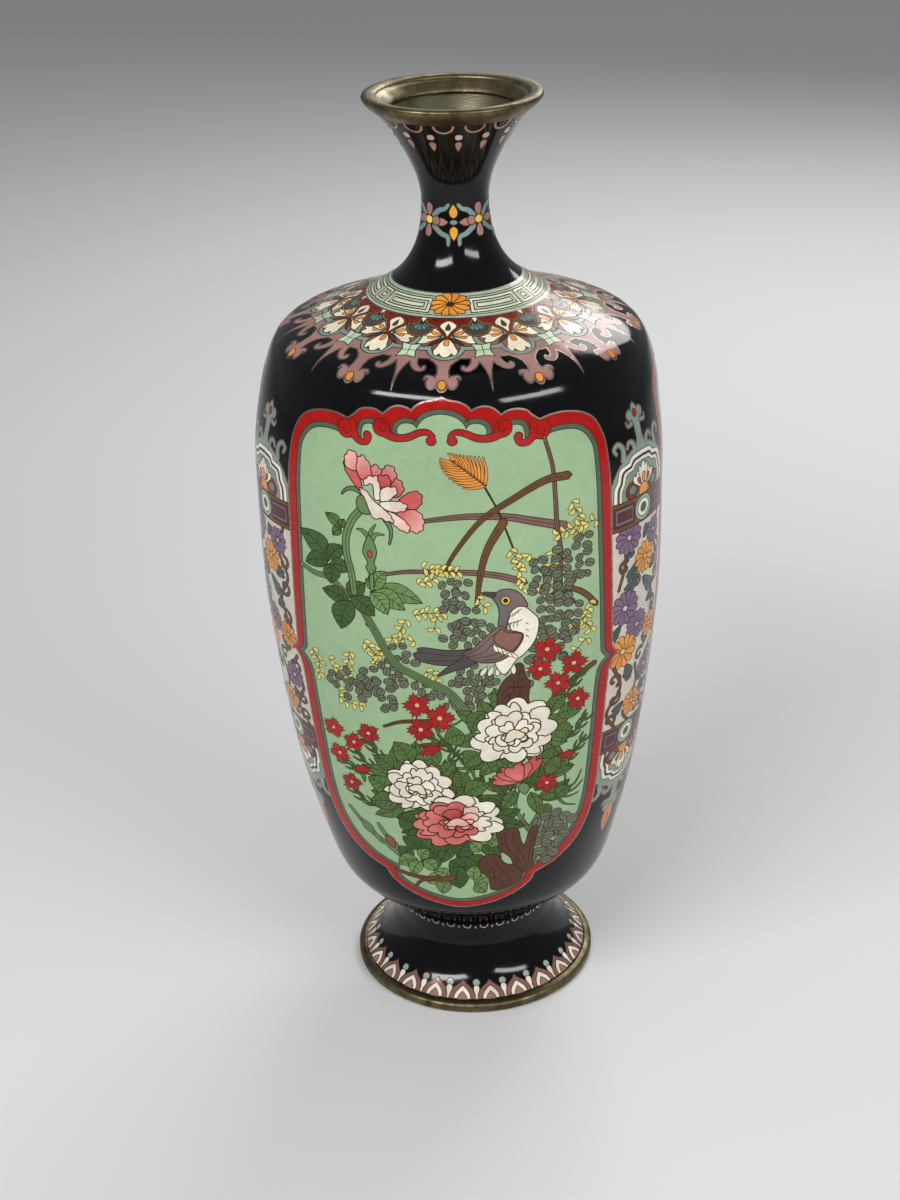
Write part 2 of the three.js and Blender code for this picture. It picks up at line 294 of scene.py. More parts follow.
class Field:
    """Cells drawn in order on one part of the surface. A later cell covers an earlier one.

    kind is how points are read: "flat" and "band" are arc length across and length up the
    meridian, and "plan" is the view down the axis with the front towards -1j.
    """

    def __init__(self, profile, kind="flat", centre=0.0, grid=2.0, ring_base=0.0):
        self.profile = profile
        self.kind = kind
        self.centre = math.radians(centre)
        self.facing = 0.0
        self.flip = False
        self.metal = "bronze"
        self.grid = grid
        self.ring_base = ring_base
        self.layers = []
        self.result = None
        falling = profile.radius < profile.radius.max() - 2
        falling &= profile.s > profile.s[np.argmax(profile.radius)]
        self.plan_radius = profile.radius[falling][::-1]
        self.plan_s = profile.s[falling][::-1]

    def face(self, degrees):
        """What is drawn next is centred on this angle from the front."""
        self.facing = math.radians(degrees)

    def to_surface(self, points, facing):
        """Angle round the vase and length up the meridian of drawn points."""
        if self.kind == "plan":
            s = np.interp(abs(points), self.plan_radius, self.plan_s)
            return facing + np.angle(points * 1j), s
        s = np.clip(points.imag, self.profile.first, self.profile.last)
        return facing + points.real / self.profile.at(s)[1], s

    def to_flat(self, theta, s, facing):
        """Back from the surface to the points that a cell was drawn with."""
        radius = self.profile.at(s)[1]
        turned = np.angle(np.exp(1j * (theta - facing)))
        if self.kind == "plan":
            return radius * np.exp(1j * turned) * -1j
        return turned * radius + 1j * s

    def to_chart(self, theta, s):
        """The flat chart where a field is cut: a strip, or a ring for a field that goes all round."""
        if self.kind == "flat":
            return theta * CHART_RADIUS + 1j * s
        return (self.ring_base - s) * np.exp(1j * theta)

    def from_chart(self, points):
        """Angle and length up the meridian of points on the chart."""
        if self.kind == "flat":
            return points.real / CHART_RADIUS, points.imag
        return np.angle(points), self.ring_base - abs(points)

    def add(self, outline, group, colour):
        """A layer over all before it. Without a colour it keeps its metal's own."""
        if self.flip:
            outline = -np.conj(outline)
        theta, s = self.to_surface(densify(outline, self.grid * 0.8), self.facing)
        self.layers.append((ccw(self.to_chart(theta, s)), group, colour, self.facing, self.flip))

    def add_ring(self, s, group, colour, count=120):
        """Everything above a level of a field that goes all the way round."""
        theta = np.linspace(0, 2 * math.pi, count, endpoint=False)
        self.layers.append((ccw(self.to_chart(theta, s + 0 * theta)), group, colour, 0.0, False))

    def cell(self, outline, group, colour, wire=0.34, metal=None):
        """An enamel cell inside a wire that runs along its outline."""
        outline = ccw(outline)
        if wire:
            self.add(offset(outline, wire / 2), metal or self.metal, None)
            outline = offset(outline, -wire / 2)
        self.add(outline, group, colour)

    def line(self, points, width, per_edge=6):
        """A free wire along a smooth path."""
        self.add(stroke(points, width, width, per_edge), self.metal, None)

    def cut(self):
        """Triangles of the whole field, with the layer that shows in each."""
        if self.result is None:
            self.result = self.cut_layers()
        return self.result

    def cut_layers(self):
        """Cuts all outlines and a staggered grid into triangles, and finds each one's top layer."""
        charts = [layer[0] for layer in self.layers]
        points, edges = [], []
        for chart in charts:
            first = len(points)
            points.extend(chart)
            edges.extend((first + i, first + (i + 1) % len(chart)) for i in range(len(chart)))
        every = np.concatenate(charts)
        xs = np.arange(every.real.min(), every.real.max(), self.grid)
        ys = np.arange(every.imag.min(), every.imag.max(), self.grid)
        stagger = 0.5 * self.grid * (np.arange(len(ys)) % 2)[:, None]
        grid = (xs[None, :] + stagger + 1j * ys[:, None]).ravel()
        points.extend(grid[self.inside(grid, charts[0])])
        flat = [Vector((p.real, p.imag)) for p in points]
        verts, _, faces, _, _, _ = delaunay_2d_cdt(flat, edges, [], 0, 1e-5, False)
        verts = np.array([v.x + 1j * v.y for v in verts])
        faces = np.array([f for f in faces if len(f) == 3])
        middle = verts[faces].mean(1)
        label = np.full(len(faces), -1)
        for i, chart in enumerate(charts):
            near = ((middle.real > chart.real.min()) & (middle.real < chart.real.max())
                    & (middle.imag > chart.imag.min()) & (middle.imag < chart.imag.max()))
            near = np.nonzero(near)[0]
            label[near[self.inside(middle[near], chart)]] = i
        return verts, faces, label

    @staticmethod
    def inside(points, outline):
        """True where the outline winds round a point in its own direction."""
        result = np.zeros(len(points), bool)
        ahead = np.roll(outline, -1)
        batch = 20000
        for start in range(0, len(points), batch):
            p = points[start : start + batch, None]
            up = (outline.imag <= p.imag) & (ahead.imag > p.imag)
            down = (outline.imag > p.imag) & (ahead.imag <= p.imag)
            left = (np.conj(ahead - outline) * (p - outline)).imag
            winding = (up & (left > 0)).sum(1) - (down & (left < 0)).sum(1)
            result[start : start + batch] = winding > 0
        return result

    def corner_colours(self, verts, chosen, labels):
        """Linear colour at each corner of the chosen triangles."""
        theta, s = self.from_chart(verts)
        colours = np.ones((len(chosen), 3, 4))
        for i in np.unique(labels):
            _, _, colour, facing, flip = self.layers[i]
            if colour is None:
                continue
            rows = labels == i
            shade = 1 + 0.08 * math.sin(12.9898 * i + 4.1)
            if callable(colour):
                corners = chosen[rows]
                flat = self.to_flat(theta[corners], s[corners], facing)
                flat = -np.conj(flat) if flip else flat
                colours[rows, :, :3] = colour(flat) * shade
            else:
                colours[rows, :, :3] = linear(colour) * shade
        return colours


parts = {}


def lay(field, prefix, lift=0.04, thickness=0.5):
    """Puts a field's cells on the vase, and sorts them by group into the parts to be made."""
    verts, faces, label = field.cut()
    theta, s = field.from_chart(verts)
    theta = theta + (field.centre if field.kind == "flat" else 0)
    s = np.clip(s, field.profile.first, field.profile.last)
    normal = surface_normal(field.profile, theta, s)
    top = surface_point(field.profile, theta, s) + normal * lift * MM
    bottom = top - normal * thickness * MM
    groups = np.array([layer[1] for layer in field.layers] + [""])
    shown = groups[label]
    for group in sorted(set(shown) - {""}):
        rows = shown == group
        chosen = faces[rows]
        colours = field.corner_colours(verts, chosen, label[rows])
        name = prefix + "_" + group
        parts.setdefault(name, []).append(plate(top, bottom, normal, chosen, colours))


def plate(top, bottom, normal, faces, colours):
    """A closed sheet between two surfaces: vertices, triangles, corner normals and colours."""
    used, faces = np.unique(faces, return_inverse=True)
    faces = faces.reshape(-1, 3)
    top, bottom, normal = top[used], bottom[used], normal[used]
    count = len(used)
    sides = np.concatenate([faces[:, [0, 1]], faces[:, [1, 2]], faces[:, [2, 0]]])
    side_colour = np.concatenate([colours[:, 0], colours[:, 1], colours[:, 2]])
    forward = sides[:, 0] * count + sides[:, 1]
    backward = sides[:, 1] * count + sides[:, 0]
    rim = ~np.isin(forward, backward)
    a, b = sides[rim].T
    wall_colour = np.repeat(side_colour[rim][:, None], 3, 1)
    walls = np.concatenate([np.stack([a, a + count, b], 1), np.stack([b, a + count, b + count], 1)])
    edge = top[b] - top[a]
    wall_normal = np.cross(edge, normal[a])
    wall_normal /= np.maximum(np.linalg.norm(wall_normal, axis=1, keepdims=True), 1e-12)
    wall_normals = np.repeat(np.concatenate([wall_normal, wall_normal])[:, None], 3, 1)
    verts = np.concatenate([top, bottom])
    triangles = np.concatenate([faces, faces[:, ::-1] + count, walls])
    normals = np.concatenate([normal[faces], -normal[faces[:, ::-1]], wall_normals])
    tints = np.concatenate([colours, colours[:, ::-1], wall_colour, wall_colour])
    return verts, triangles, normals, tints


def make_piece(name, plates, material, slot):
    """One Blender object from plates, with the surface's own normals and the cells' colours."""
    verts = np.concatenate([p[0] for p in plates])
    starts = np.cumsum([0] + [len(p[0]) for p in plates])
    triangles = np.concatenate([p[1] + start for p, start in zip(plates, starts)])
    normals = np.concatenate([p[2] for p in plates]).reshape(-1, 3)
    tints = np.concatenate([p[3] for p in plates]).reshape(-1, 4)
    mesh = bpy.data.meshes.new(name)
    mesh.from_pydata(verts.tolist(), [], triangles.tolist())
    cell = mesh.color_attributes.new("cell", "FLOAT_COLOR", "CORNER")
    cell.data.foreach_set("color", tints.ravel())
    mesh.polygons.foreach_set("use_smooth", np.ones(len(triangles), bool))
    mesh.normals_split_custom_set(normals.tolist())
    piece = bpy.data.objects.new(name, mesh)
    bpy.context.scene.collection.objects.link(piece)
    mesh.materials.append(material)
    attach(piece, "root")
    return piece


def turned_piece(name, section, material, lobed, smooth_angle=35, segments=180):
    """A closed ring of revolution from a section of (radius, height) points, counterclockwise."""
    section = np.array(section, float) * SCALE
    angle = np.linspace(0, 2 * math.pi, segments, endpoint=False)
    factor = lobe_factor(angle[:, None], section[None, :, 1]) if lobed else 1.0
    reach = section[None, :, 0] * factor
    x = AXIS_X + reach * np.sin(angle)[:, None] * MM
    y = AXIS_Y - reach * np.cos(angle)[:, None] * MM
    z = np.broadcast_to(section[None, :, 1] * MM, x.shape)
    verts = np.stack([x, y, z], -1).reshape(-1, 3)
    count = len(section)
    i, j = np.meshgrid(np.arange(segments), np.arange(count), indexing="ij")
    near, far = i * count, ((i + 1) % segments) * count
    up = (j + 1) % count
    quads = np.stack([near + j, far + j, far + up, near + up], -1).reshape(-1, 4)
    mesh = bpy.data.meshes.new(name)
    mesh.from_pydata(verts.tolist(), [], quads.tolist())
    mesh.polygons.foreach_set("use_smooth", np.ones(len(quads), bool))
    mesh.set_sharp_from_angle(angle=math.radians(smooth_angle))
    mesh.materials.append(material)
    piece = bpy.data.objects.new(name, mesh)
    bpy.context.scene.collection.objects.link(piece)
    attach(piece, "root")
    return piece

# ---------------------------------------------------------------- materials


def new_material(name):
    """A node material, as its block, nodes, links and shader."""
    material = bpy.data.materials.new(name)
    material.use_nodes = True
    nodes = material.node_tree.nodes
    return material, nodes, material.node_tree.links, nodes["Principled BSDF"]


def add_noise(nodes, links, scale, detail=3.0, roughness=0.55):
    """Noise in the object's own space, with scale in features to the metre."""
    coordinates = nodes.new("ShaderNodeTexCoord")
    noise = nodes.new("ShaderNodeTexNoise")
    noise.inputs["Scale"].default_value = scale
    noise.inputs["Detail"].default_value = detail
    noise.inputs["Roughness"].default_value = roughness
    links.new(coordinates.outputs["Object"], noise.inputs["Vector"])
    return noise


def spread(nodes, links, source, low, high, start=0.3, stop=0.7):
    """Maps a noise value from start..stop to low..high."""
    span = nodes.new("ShaderNodeMapRange")
    span.inputs["From Min"].default_value = start
    span.inputs["From Max"].default_value = stop
    span.inputs["To Min"].default_value = low
    span.inputs["To Max"].default_value = high
    links.new(source, span.inputs["Value"])
    return span.outputs["Result"]


def add_bump(nodes, links, shader, source, depth_mm):
    """Relief of a depth in millimetres from a noise value."""
    bump = nodes.new("ShaderNodeBump")
    bump.inputs["Strength"].default_value = 1.0
    bump.inputs["Distance"].default_value = depth_mm * MM
    links.new(source, bump.inputs["Height"])
    links.new(bump.outputs["Normal"], shader.inputs["Normal"])


def multiply(nodes, links, colour, factor):
    """A colour made darker or lighter by a value."""
    mix = nodes.new("ShaderNodeVectorMath")
    mix.operation = "SCALE"
    links.new(colour, mix.inputs[0])
    links.new(factor, mix.inputs["Scale"])
    return mix.outputs["Vector"]


def enamel(name, roughness=0.13, cloud=0.10, grain=0.10, flat_colour=None, shine=0.36):
    """Fired and polished glass: cloudy in its colour, with fine grains and a faint ripple."""
    material, nodes, links, shader = new_material(name)
    clouds = add_noise(nodes, links, 260.0)
    grains = add_noise(nodes, links, 2600.0, detail=2.0)
    ripple = add_noise(nodes, links, 420.0, detail=1.0)
    tone = nodes.new("ShaderNodeMath")
    tone.operation = "MULTIPLY"
    links.new(spread(nodes, links, clouds.outputs["Fac"], 1 - cloud, 1 + cloud), tone.inputs[0])
    links.new(spread(nodes, links, grains.outputs["Fac"], 1 - grain, 1 + grain), tone.inputs[1])
    if flat_colour is None:
        source = nodes.new("ShaderNodeAttribute")
        source.attribute_name = "cell"
    else:
        source = nodes.new("ShaderNodeRGB")
        source.outputs["Color"].default_value = (*linear(flat_colour), 1)
    links.new(multiply(nodes, links, source.outputs["Color"], tone.outputs["Value"]),
              shader.inputs["Base Color"])
    links.new(spread(nodes, links, clouds.outputs["Fac"], roughness * 0.8, roughness * 1.3),
              shader.inputs["Roughness"])
    shader.inputs["IOR"].default_value = 1.5
    shader.inputs["Specular IOR Level"].default_value = shine
    add_bump(nodes, links, shader, ripple.outputs["Fac"], 0.012)
    return material


def metal(name, light, dark, roughness, scale=900.0, depth=0.02):
    """Worn metal: two tones in patches, rougher where it is dark."""
    material, nodes, links, shader = new_material(name)
    patches = add_noise(nodes, links, scale, detail=5.0, roughness=0.65)
    fine = add_noise(nodes, links, scale * 6, detail=2.0)
    ramp = nodes.new("ShaderNodeValToRGB")
    ramp.color_ramp.elements[0].position = 0.32
    ramp.color_ramp.elements[0].color = (*linear(dark), 1)
    ramp.color_ramp.elements[1].position = 0.68
    ramp.color_ramp.elements[1].color = (*linear(light), 1)
    links.new(patches.outputs["Fac"], ramp.inputs["Fac"])
    links.new(ramp.outputs["Color"], shader.inputs["Base Color"])
    links.new(spread(nodes, links, patches.outputs["Fac"], roughness * 1.25, roughness * 0.8),
              shader.inputs["Roughness"])
    shader.inputs["Metallic"].default_value = 1.0
    add_bump(nodes, links, shader, fine.outputs["Fac"], depth)
    return material


BLACK = (6, 6, 9)
black_enamel = enamel("black_enamel", roughness=0.10, cloud=0.25, grain=0.3, flat_colour=BLACK, shine=0.28)
cell_enamel = enamel("cell_enamel")
field_enamel = enamel("field_enamel", roughness=0.15, cloud=0.05, grain=0.05)
dark_wire = metal("bronze_wire", (92, 72, 46), (50, 38, 26), 0.42)
silver_wire = metal("silver_wire", (178, 160, 150), (128, 108, 100), 0.38)
aged_brass = metal("aged_brass", (134, 122, 90), (74, 64, 46), 0.42, scale=180.0, depth=0.05)
fired_copper = metal("fired_copper", (150, 92, 64), (84, 50, 40), 0.5, scale=120.0, depth=0.06)
neck_metal = metal("bare_neck_metal", (142, 138, 110), (98, 92, 72), 0.36, scale=240.0, depth=0.05)
counter_enamel = enamel("counter_enamel", roughness=0.4, cloud=0.3, grain=0.35,
                        flat_colour=(48, 62, 74))

# ---------------------------------------------------------------- plain layers of the vase


def shell_section(profile, s_low, s_high, outer_depth, inner_depth, step):
    """Closed section of a skin between two depths under a meridian, as (radius, height)."""
    s = np.linspace(s_low, s_high, max(2, int((s_high - s_low) / step)))
    height, radius = profile.at(s)
    dz, dr = np.gradient(height, s), np.gradient(radius, s)
    length = np.hypot(dz, dr)
    out_r, out_z = dz / length, -dr / length
    outer = np.stack([radius - out_r * outer_depth, height - out_z * outer_depth], -1)
    inner = np.stack([radius - out_r * inner_depth, height - out_z * inner_depth], -1)
    return np.concatenate([outer, inner[::-1]]) / SCALE


def rounded(points, radius, steps=4):
    """A closed section with each corner replaced by an arc-like curve."""
    points = np.array(points, float)
    out = []
    for i in range(len(points)):
        before, corner, after = points[i - 1], points[i], points[(i + 1) % len(points)]
        cut = min(radius, np.linalg.norm(before - corner) / 2.1, np.linalg.norm(after - corner) / 2.1)
        start = corner + (before - corner) / np.linalg.norm(before - corner) * cut
        stop = corner + (after - corner) / np.linalg.norm(after - corner) * cut
        for t in np.linspace(0, 1, steps):
            out.append((1 - t) ** 2 * start + 2 * t * (1 - t) * corner + t * t * stop)
    return np.array(out)


BODY_SPLIT = 152.0
ENAMEL = (0, 0.9)
COPPER = (1.0, 2.1)
LINING = (2.2, 2.8)


def build_plain_layers():
    """The black ground of each part of the vase, the copper under it, and the lining."""
    body = (BODY.first, BODY.last)
    lining = (BODY.first + 4, BODY.last - 3)
    neck = (NECK.first, NECK.last)
    foot = (FOOT.first, FOOT.last)
    layers = [
        ("lower_black_ground", BODY, (BODY.first, BODY_SPLIT), ENAMEL, 1.5, "lower_ground_enamel"),
        ("shoulder_black_ground", BODY, (BODY_SPLIT, BODY.last), ENAMEL, 1.5, "shoulder_ground_enamel"),
        ("neck_black_ground", NECK, neck, ENAMEL, 1.5, "neck_enamel"),
        ("foot_black_ground", FOOT, foot, ENAMEL, 0.8, "foot_stem_enamel"),
        ("raised_copper_body", BODY, body, COPPER, 3, "copper_body"),
        ("inner_counter_enamel", BODY, lining, LINING, 3, "counter_enamel_inside"),
        ("copper_neck_tube", NECK, neck, COPPER, 1.5, "copper_neck"),
        ("copper_foot_shell", FOOT, foot, COPPER, 0.8, "copper_foot"),
    ]
    finishes = {
        ENAMEL: (black_enamel, "black_enamel"),
        COPPER: (fired_copper, "copper"),
        LINING: (counter_enamel, "counter_enamel"),
    }
    for name, profile, (low, high), depths, step, node in layers:
        material, slot = finishes[depths]
        if node == "copper_neck":
            material = neck_metal
        section = shell_section(profile, low, high, *depths, step)
        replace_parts(turned_piece(name, section, material, lobed=profile is BODY), node)


def build_base():
    """The plate that closes the body inside the foot, slightly domed, and its enamel."""
    radius = 24.2
    rise = [(radius * t, 26.2 + 0.7 * (1 - t * t)) for t in np.linspace(0.02, 1, 12)]
    upper = [(r, z + 1.0) for r, z in rise][::-1]
    plate_piece = turned_piece("domed_base_plate", rise + upper, fired_copper, lobed=False)
    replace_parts(plate_piece, "base_plate")
    under = [(r, z - 0.75) for r, z in rise]
    over = [(r, z - 0.1) for r, z in rise][::-1]
    glaze = turned_piece("base_counter_enamel", under + over, counter_enamel,
                         lobed=False)
    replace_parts(glaze, "counter_enamel_base")


def build_mounts():
    """The brass lip ring, with the small step inside its mouth, and the brass foot ring."""
    lip = [(22.6, 299.5), (23.6, 300.2), (25.6, 301.7), (26.9, 303.1), (27.15, 304.2), (26.6, 304.9),
           (25.4, 305.0), (23.4, 304.7), (22.9, 304.2), (22.7, 303.7), (21.4, 303.4), (19.4, 301.3),
           (18.8, 300.3), (19.6, 299.9), (21.2, 299.9)]
    ring = turned_piece("brass_lip_ring", rounded(lip, 0.45), aged_brass, lobed=False,
                        smooth_angle=50)
    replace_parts(ring, "rim_mount")
    base = [(38.0, 0.0), (40.9, 0.0), (41.6, 0.7), (41.6, 2.5), (41.0, 3.2), (39.5, 3.7),
            (38.8, 3.5), (38.0, 2.6)]
    foot = turned_piece("brass_foot_ring", rounded(base, 0.35), aged_brass, lobed=False,
                        smooth_angle=50)
    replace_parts(foot, "foot_rim_mount")

# ---------------------------------------------------------------- plants and other motifs

WHITE = (232, 225, 208)
CREAM = (238, 228, 200)
ROSE_PINK = (198, 92, 94)
SOFT_PINK = (230, 172, 160)
DARK_RED = (160, 16, 16)
YELLOW = (220, 206, 112)
ORANGE = (224, 146, 62)
LEAF = (76, 110, 54)
DARK_LEAF = (56, 90, 40)
LIGHT_LEAF = (106, 140, 80)
STEM_GREEN = (98, 130, 82)
CLOVER = (102, 110, 94)
BROWN = (104, 66, 34)
MAUVE_BROWN = (120, 86, 78)
TRUNK = (84, 50, 34)


def place(outline, at, angle=0.0, size=1.0):
    """A motif's own points, turned by an angle in degrees, scaled and moved."""
    return at + np.asarray(outline, complex) * turn(angle) * size


def fade(inner, outer, centre, near, far):
    """A colour that passes from inner to outer with the distance from a point."""
    def colour(points):
        t = np.clip((abs(points - centre) - near) / (far - near), 0, 1)[..., None]
        return linear(inner) * (1 - t) + linear(outer) * t
    return colour


def scalloped(length, width, bumps):
    """A petal from 0 along +1, with a scalloped outer edge."""
    u = np.linspace(-1, 1, 6 * bumps + 1)
    edge = 0.82 - 0.08 * u * u + 0.18 * abs(np.sin(0.5 * math.pi * bumps * (u + 1))) ** 0.7
    x = length * edge * (1 - 0.20 * u * u)
    y = width / 2 * np.sin(u * math.pi / 2) * (0.94 + 0.06 * edge)
    flank = length * np.array([0.55, 0.25, 0.06])
    narrow = width / 2 * np.array([0.86, 0.56, 0.2])
    low = flank[::-1] - 1j * narrow[::-1]
    return np.concatenate([low, x + 1j * y, np.conj(low[::-1])])


def draw_leaf(field, at, angle, length, width, colour, veins, bend):
    """A pointed leaf that bends a little, with its midrib and side veins."""
    def bow(points):
        points = np.asarray(points, complex)
        t = points.real / length
        return points + 1j * bend * length * np.sin(math.pi * t)
    field.cell(place(bow(leaf(length, width, 0.45)), at, angle), "leaf", colour, wire=0.30)
    rib = bow(length * np.array([0.02, 0.35, 0.65, 0.97]))
    field.line(place(rib, at, angle), 0.26, per_edge=3)
    for i in range(veins):
        t = 0.18 + 0.58 * i / max(1, veins - 1)
        reach = width * 0.36 * math.sin(math.pi * (t + 0.08)) ** 0.6
        for side in (-1, 1):
            vein = bow(np.array([length * t, length * (t + 0.13) + 1j * side * reach]))
            field.line(place(vein, at, angle), 0.20, per_edge=1)


def draw_leaves(field, leaves, colour, veins=3):
    """Leaves given as (base, tip, width)."""
    for base, tip, width in leaves:
        reach = tip - base
        bend = 0.10 if reach.real > 0 else -0.10
        draw_leaf(field, base, math.degrees(np.angle(reach)), abs(reach), width, colour, veins, bend)


def draw_branch(field, points, width, end_width, colour, group="wood", grain=1):
    """A woody or green stem: a filled ribbon with grain lines along it."""
    field.cell(stroke(points, width, end_width, 5), group, colour, wire=0.3)
    path = smooth(points, 5, closed=False)
    along = np.gradient(path)
    along /= abs(along)
    half = np.linspace(width, end_width, len(path)) / 2
    for i in range(grain):
        shift = (i + 1) / (grain + 1) * 2 - 1
        field.line(path[1:-1] + 1j * along[1:-1] * half[1:-1] * shift, 0.2, per_edge=1)


def draw_peony(field, at, width, height, tilt, petals, heart, seed):
    """A full blossom: rings of scalloped petals getting smaller towards a folded heart.

    petals is a function that gives a petal's colour from its angle and the blossom's middle.
    """
    chance = random.Random(seed)
    squash = height / width
    rings = ((1.0, 8, 0.66, 3), (0.70, 6, 0.66, 3), (0.44, 4, 0.66, 2))
    for scale, count, breadth, bumps in rings:
        order = list(range(count))
        chance.shuffle(order)
        start = chance.uniform(0, 360 / count)
        for i in order:
            angle = start + 360 / count * i + chance.uniform(-6, 6)
            length = width / 2 * scale * chance.uniform(0.84, 1.10)
            across = width * scale * breadth * chance.uniform(0.62, 0.76)
            shape = scalloped(length, across, bumps + chance.randint(-1, 0)) * turn(angle)
            shape = shape.real + 1j * shape.imag * squash
            field.cell(place(shape, at, tilt), "bloom", petals(angle, at), wire=0.44)
    for angle, reach, start in ((200, 0.15, 0.03), (330, 0.16, 0.02), (265, 0.19, -0.07)):
        shape = scalloped(width * reach, width * reach * 1.3, 2) * turn(angle) - start * width * 1j
        shape = shape.real + 1j * shape.imag * squash
        field.cell(place(shape, at, tilt), "bloom", heart, wire=0.44)


def draw_dianthus(field, at, radius, angle, seed):
    """A red pink seen from above: five ragged petals round a pale eye."""
    chance = random.Random(seed)
    teeth = 20
    outline = []
    for i in range(teeth * 2):
        turned = math.pi * i / teeth
        petal = 0.62 + 0.40 * abs(math.cos(2.5 * turned)) ** 0.7
        notch = chance.uniform(0.98, 1.16) if i % 2 else 0.84
        outline.append(radius * petal * notch * np.exp(1j * turned))
    field.cell(place(outline, at, angle), "red", DARK_RED, wire=0.2)
    for i in range(5):
        seam = np.array([0.30, 0.72]) * radius * turn(36 + 72 * i)
        field.line(place(seam, at, angle), 0.22, per_edge=1)
    field.cell(place(disc(radius * 0.2, 10), at, angle), "yellow", (236, 170, 130), wire=0.26)


def draw_side_dianthus(field, at, width, angle):
    """A red pink seen from the side, with its calyx below."""
    field.cell(place(leaf(width * 0.55, width * 0.22, 0.4), at, angle - 90), "leaf", LEAF, wire=0.26)
    fan = [0, 0.5 + 0.12j, 0.32 + 0.24j, 0.46 + 0.38j, 0.2 + 0.34j, 0.1 + 0.5j, -0.06 + 0.36j,
           -0.24 + 0.42j, -0.26 + 0.26j, -0.5 + 0.24j, -0.36 + 0.1j]
    field.cell(place(fan, at, angle, width), "red", DARK_RED, wire=0.28)


def draw_clover(field, path, seed, size=3.0, crowd=2.7):
    """A spray of small round grey-green leaves in pairs along a stem."""
    chance = random.Random(seed)
    curve = smooth(path, 12, closed=False)
    run = np.concatenate([[0], np.cumsum(abs(np.diff(curve)))])
    count = max(1, int(run[-1] / crowd))
    for i in range(count + 1):
        distance = run[-1] * i / count
        at = np.interp(distance, run, curve.real) + 1j * np.interp(distance, run, curve.imag)
        ahead = np.interp(distance + 0.5, run, curve.real) + 1j * np.interp(distance + 0.5, run, curve.imag)
        heading = math.degrees(np.angle(ahead - at)) if abs(ahead - at) > 1e-6 else 90
        for side in (-1, 1):
            angle = heading + side * chance.uniform(35, 85)
            length = size * chance.uniform(0.9, 1.12)
            ball = disc(0.5, 12)
            oval = (ball.real + 0.62 + 0.82j * ball.imag) * length
            field.cell(place(oval, at, angle), "clover", CLOVER, wire=0.3)
            field.line(place([length * 0.16, length * 0.98], at, angle), 0.24, per_edge=1)


def draw_florets(field, path, seed, size=2.4, crowd=2.1):
    """A sprig of yellow pea blossoms: half-round petals either side of a thin stem."""
    chance = random.Random(seed)
    field.line(path, 0.24, per_edge=4)
    curve = smooth(path, 8, closed=False)
    run = np.concatenate([[0], np.cumsum(abs(np.diff(curve)))])
    count = max(1, int(run[-1] / crowd))
    half = size / 2 * np.exp(1j * np.linspace(-0.2, math.pi, 8)) + size * 0.55
    for i in range(count + 1):
        distance = run[-1] * i / count
        at = np.interp(distance, run, curve.real) + 1j * np.interp(distance, run, curve.imag)
        for side in (-1, 1):
            angle = chance.uniform(25, 75) * side + math.degrees(np.angle(curve[-1] - curve[0]))
            field.cell(place(half, at, angle), "yellow", YELLOW, wire=0.22)


def draw_plume(field, base, tip, reach, barbs=11):
    """An orange feathery plume: curved barbs either side of its shaft."""
    shaft = tip - base
    heading = math.degrees(np.angle(shaft))
    for i in range(barbs):
        along = i / (barbs - 1)
        root = base + shaft * (0.04 + 0.86 * along)
        for side, swell in ((-1, 1.15 - 0.72 * along), (1, math.sin(math.pi * (0.30 + 0.52 * along)))):
            lean = 62 - 26 * along
            barb = np.array([0, 0.5 + 0.04j, 1 + 0.26j]) * reach * swell
            barb = barb.real - side * 1j * barb.imag
            barb = place(barb, root, heading + side * lean)
            field.cell(stroke(barb, 1.4, 0.45, 4), "yellow", ORANGE, wire=0.2)
    field.cell(stroke([base + shaft * 0.8, tip], 1.4, 0.4, 3), "yellow", ORANGE, wire=0.22)
    field.line([base, base + shaft * 0.5, base + shaft * 0.96], 0.4, per_edge=4)


def draw_grain(field, lines, width=0.26):
    """Fine wires inside a cell."""
    for points in lines:
        field.line(points, width, per_edge=4)

# ---------------------------------------------------------------- the picture in the panels


def frilled(outline, centre, depth=0.7, wave=2.5):
    """A petal with notches in the part of its edge that is far from the blossom's centre."""
    outline = ccw(outline)
    run = np.concatenate([[0], np.cumsum(abs(np.diff(outline)))])
    away = abs(outline - centre)
    outer = np.clip((away - away.min()) / (away.max() - away.min()) * 2 - 1, 0, 1)
    return offset(outline, depth * outer * (abs(np.sin(math.pi * run / wave)) - 0.6))


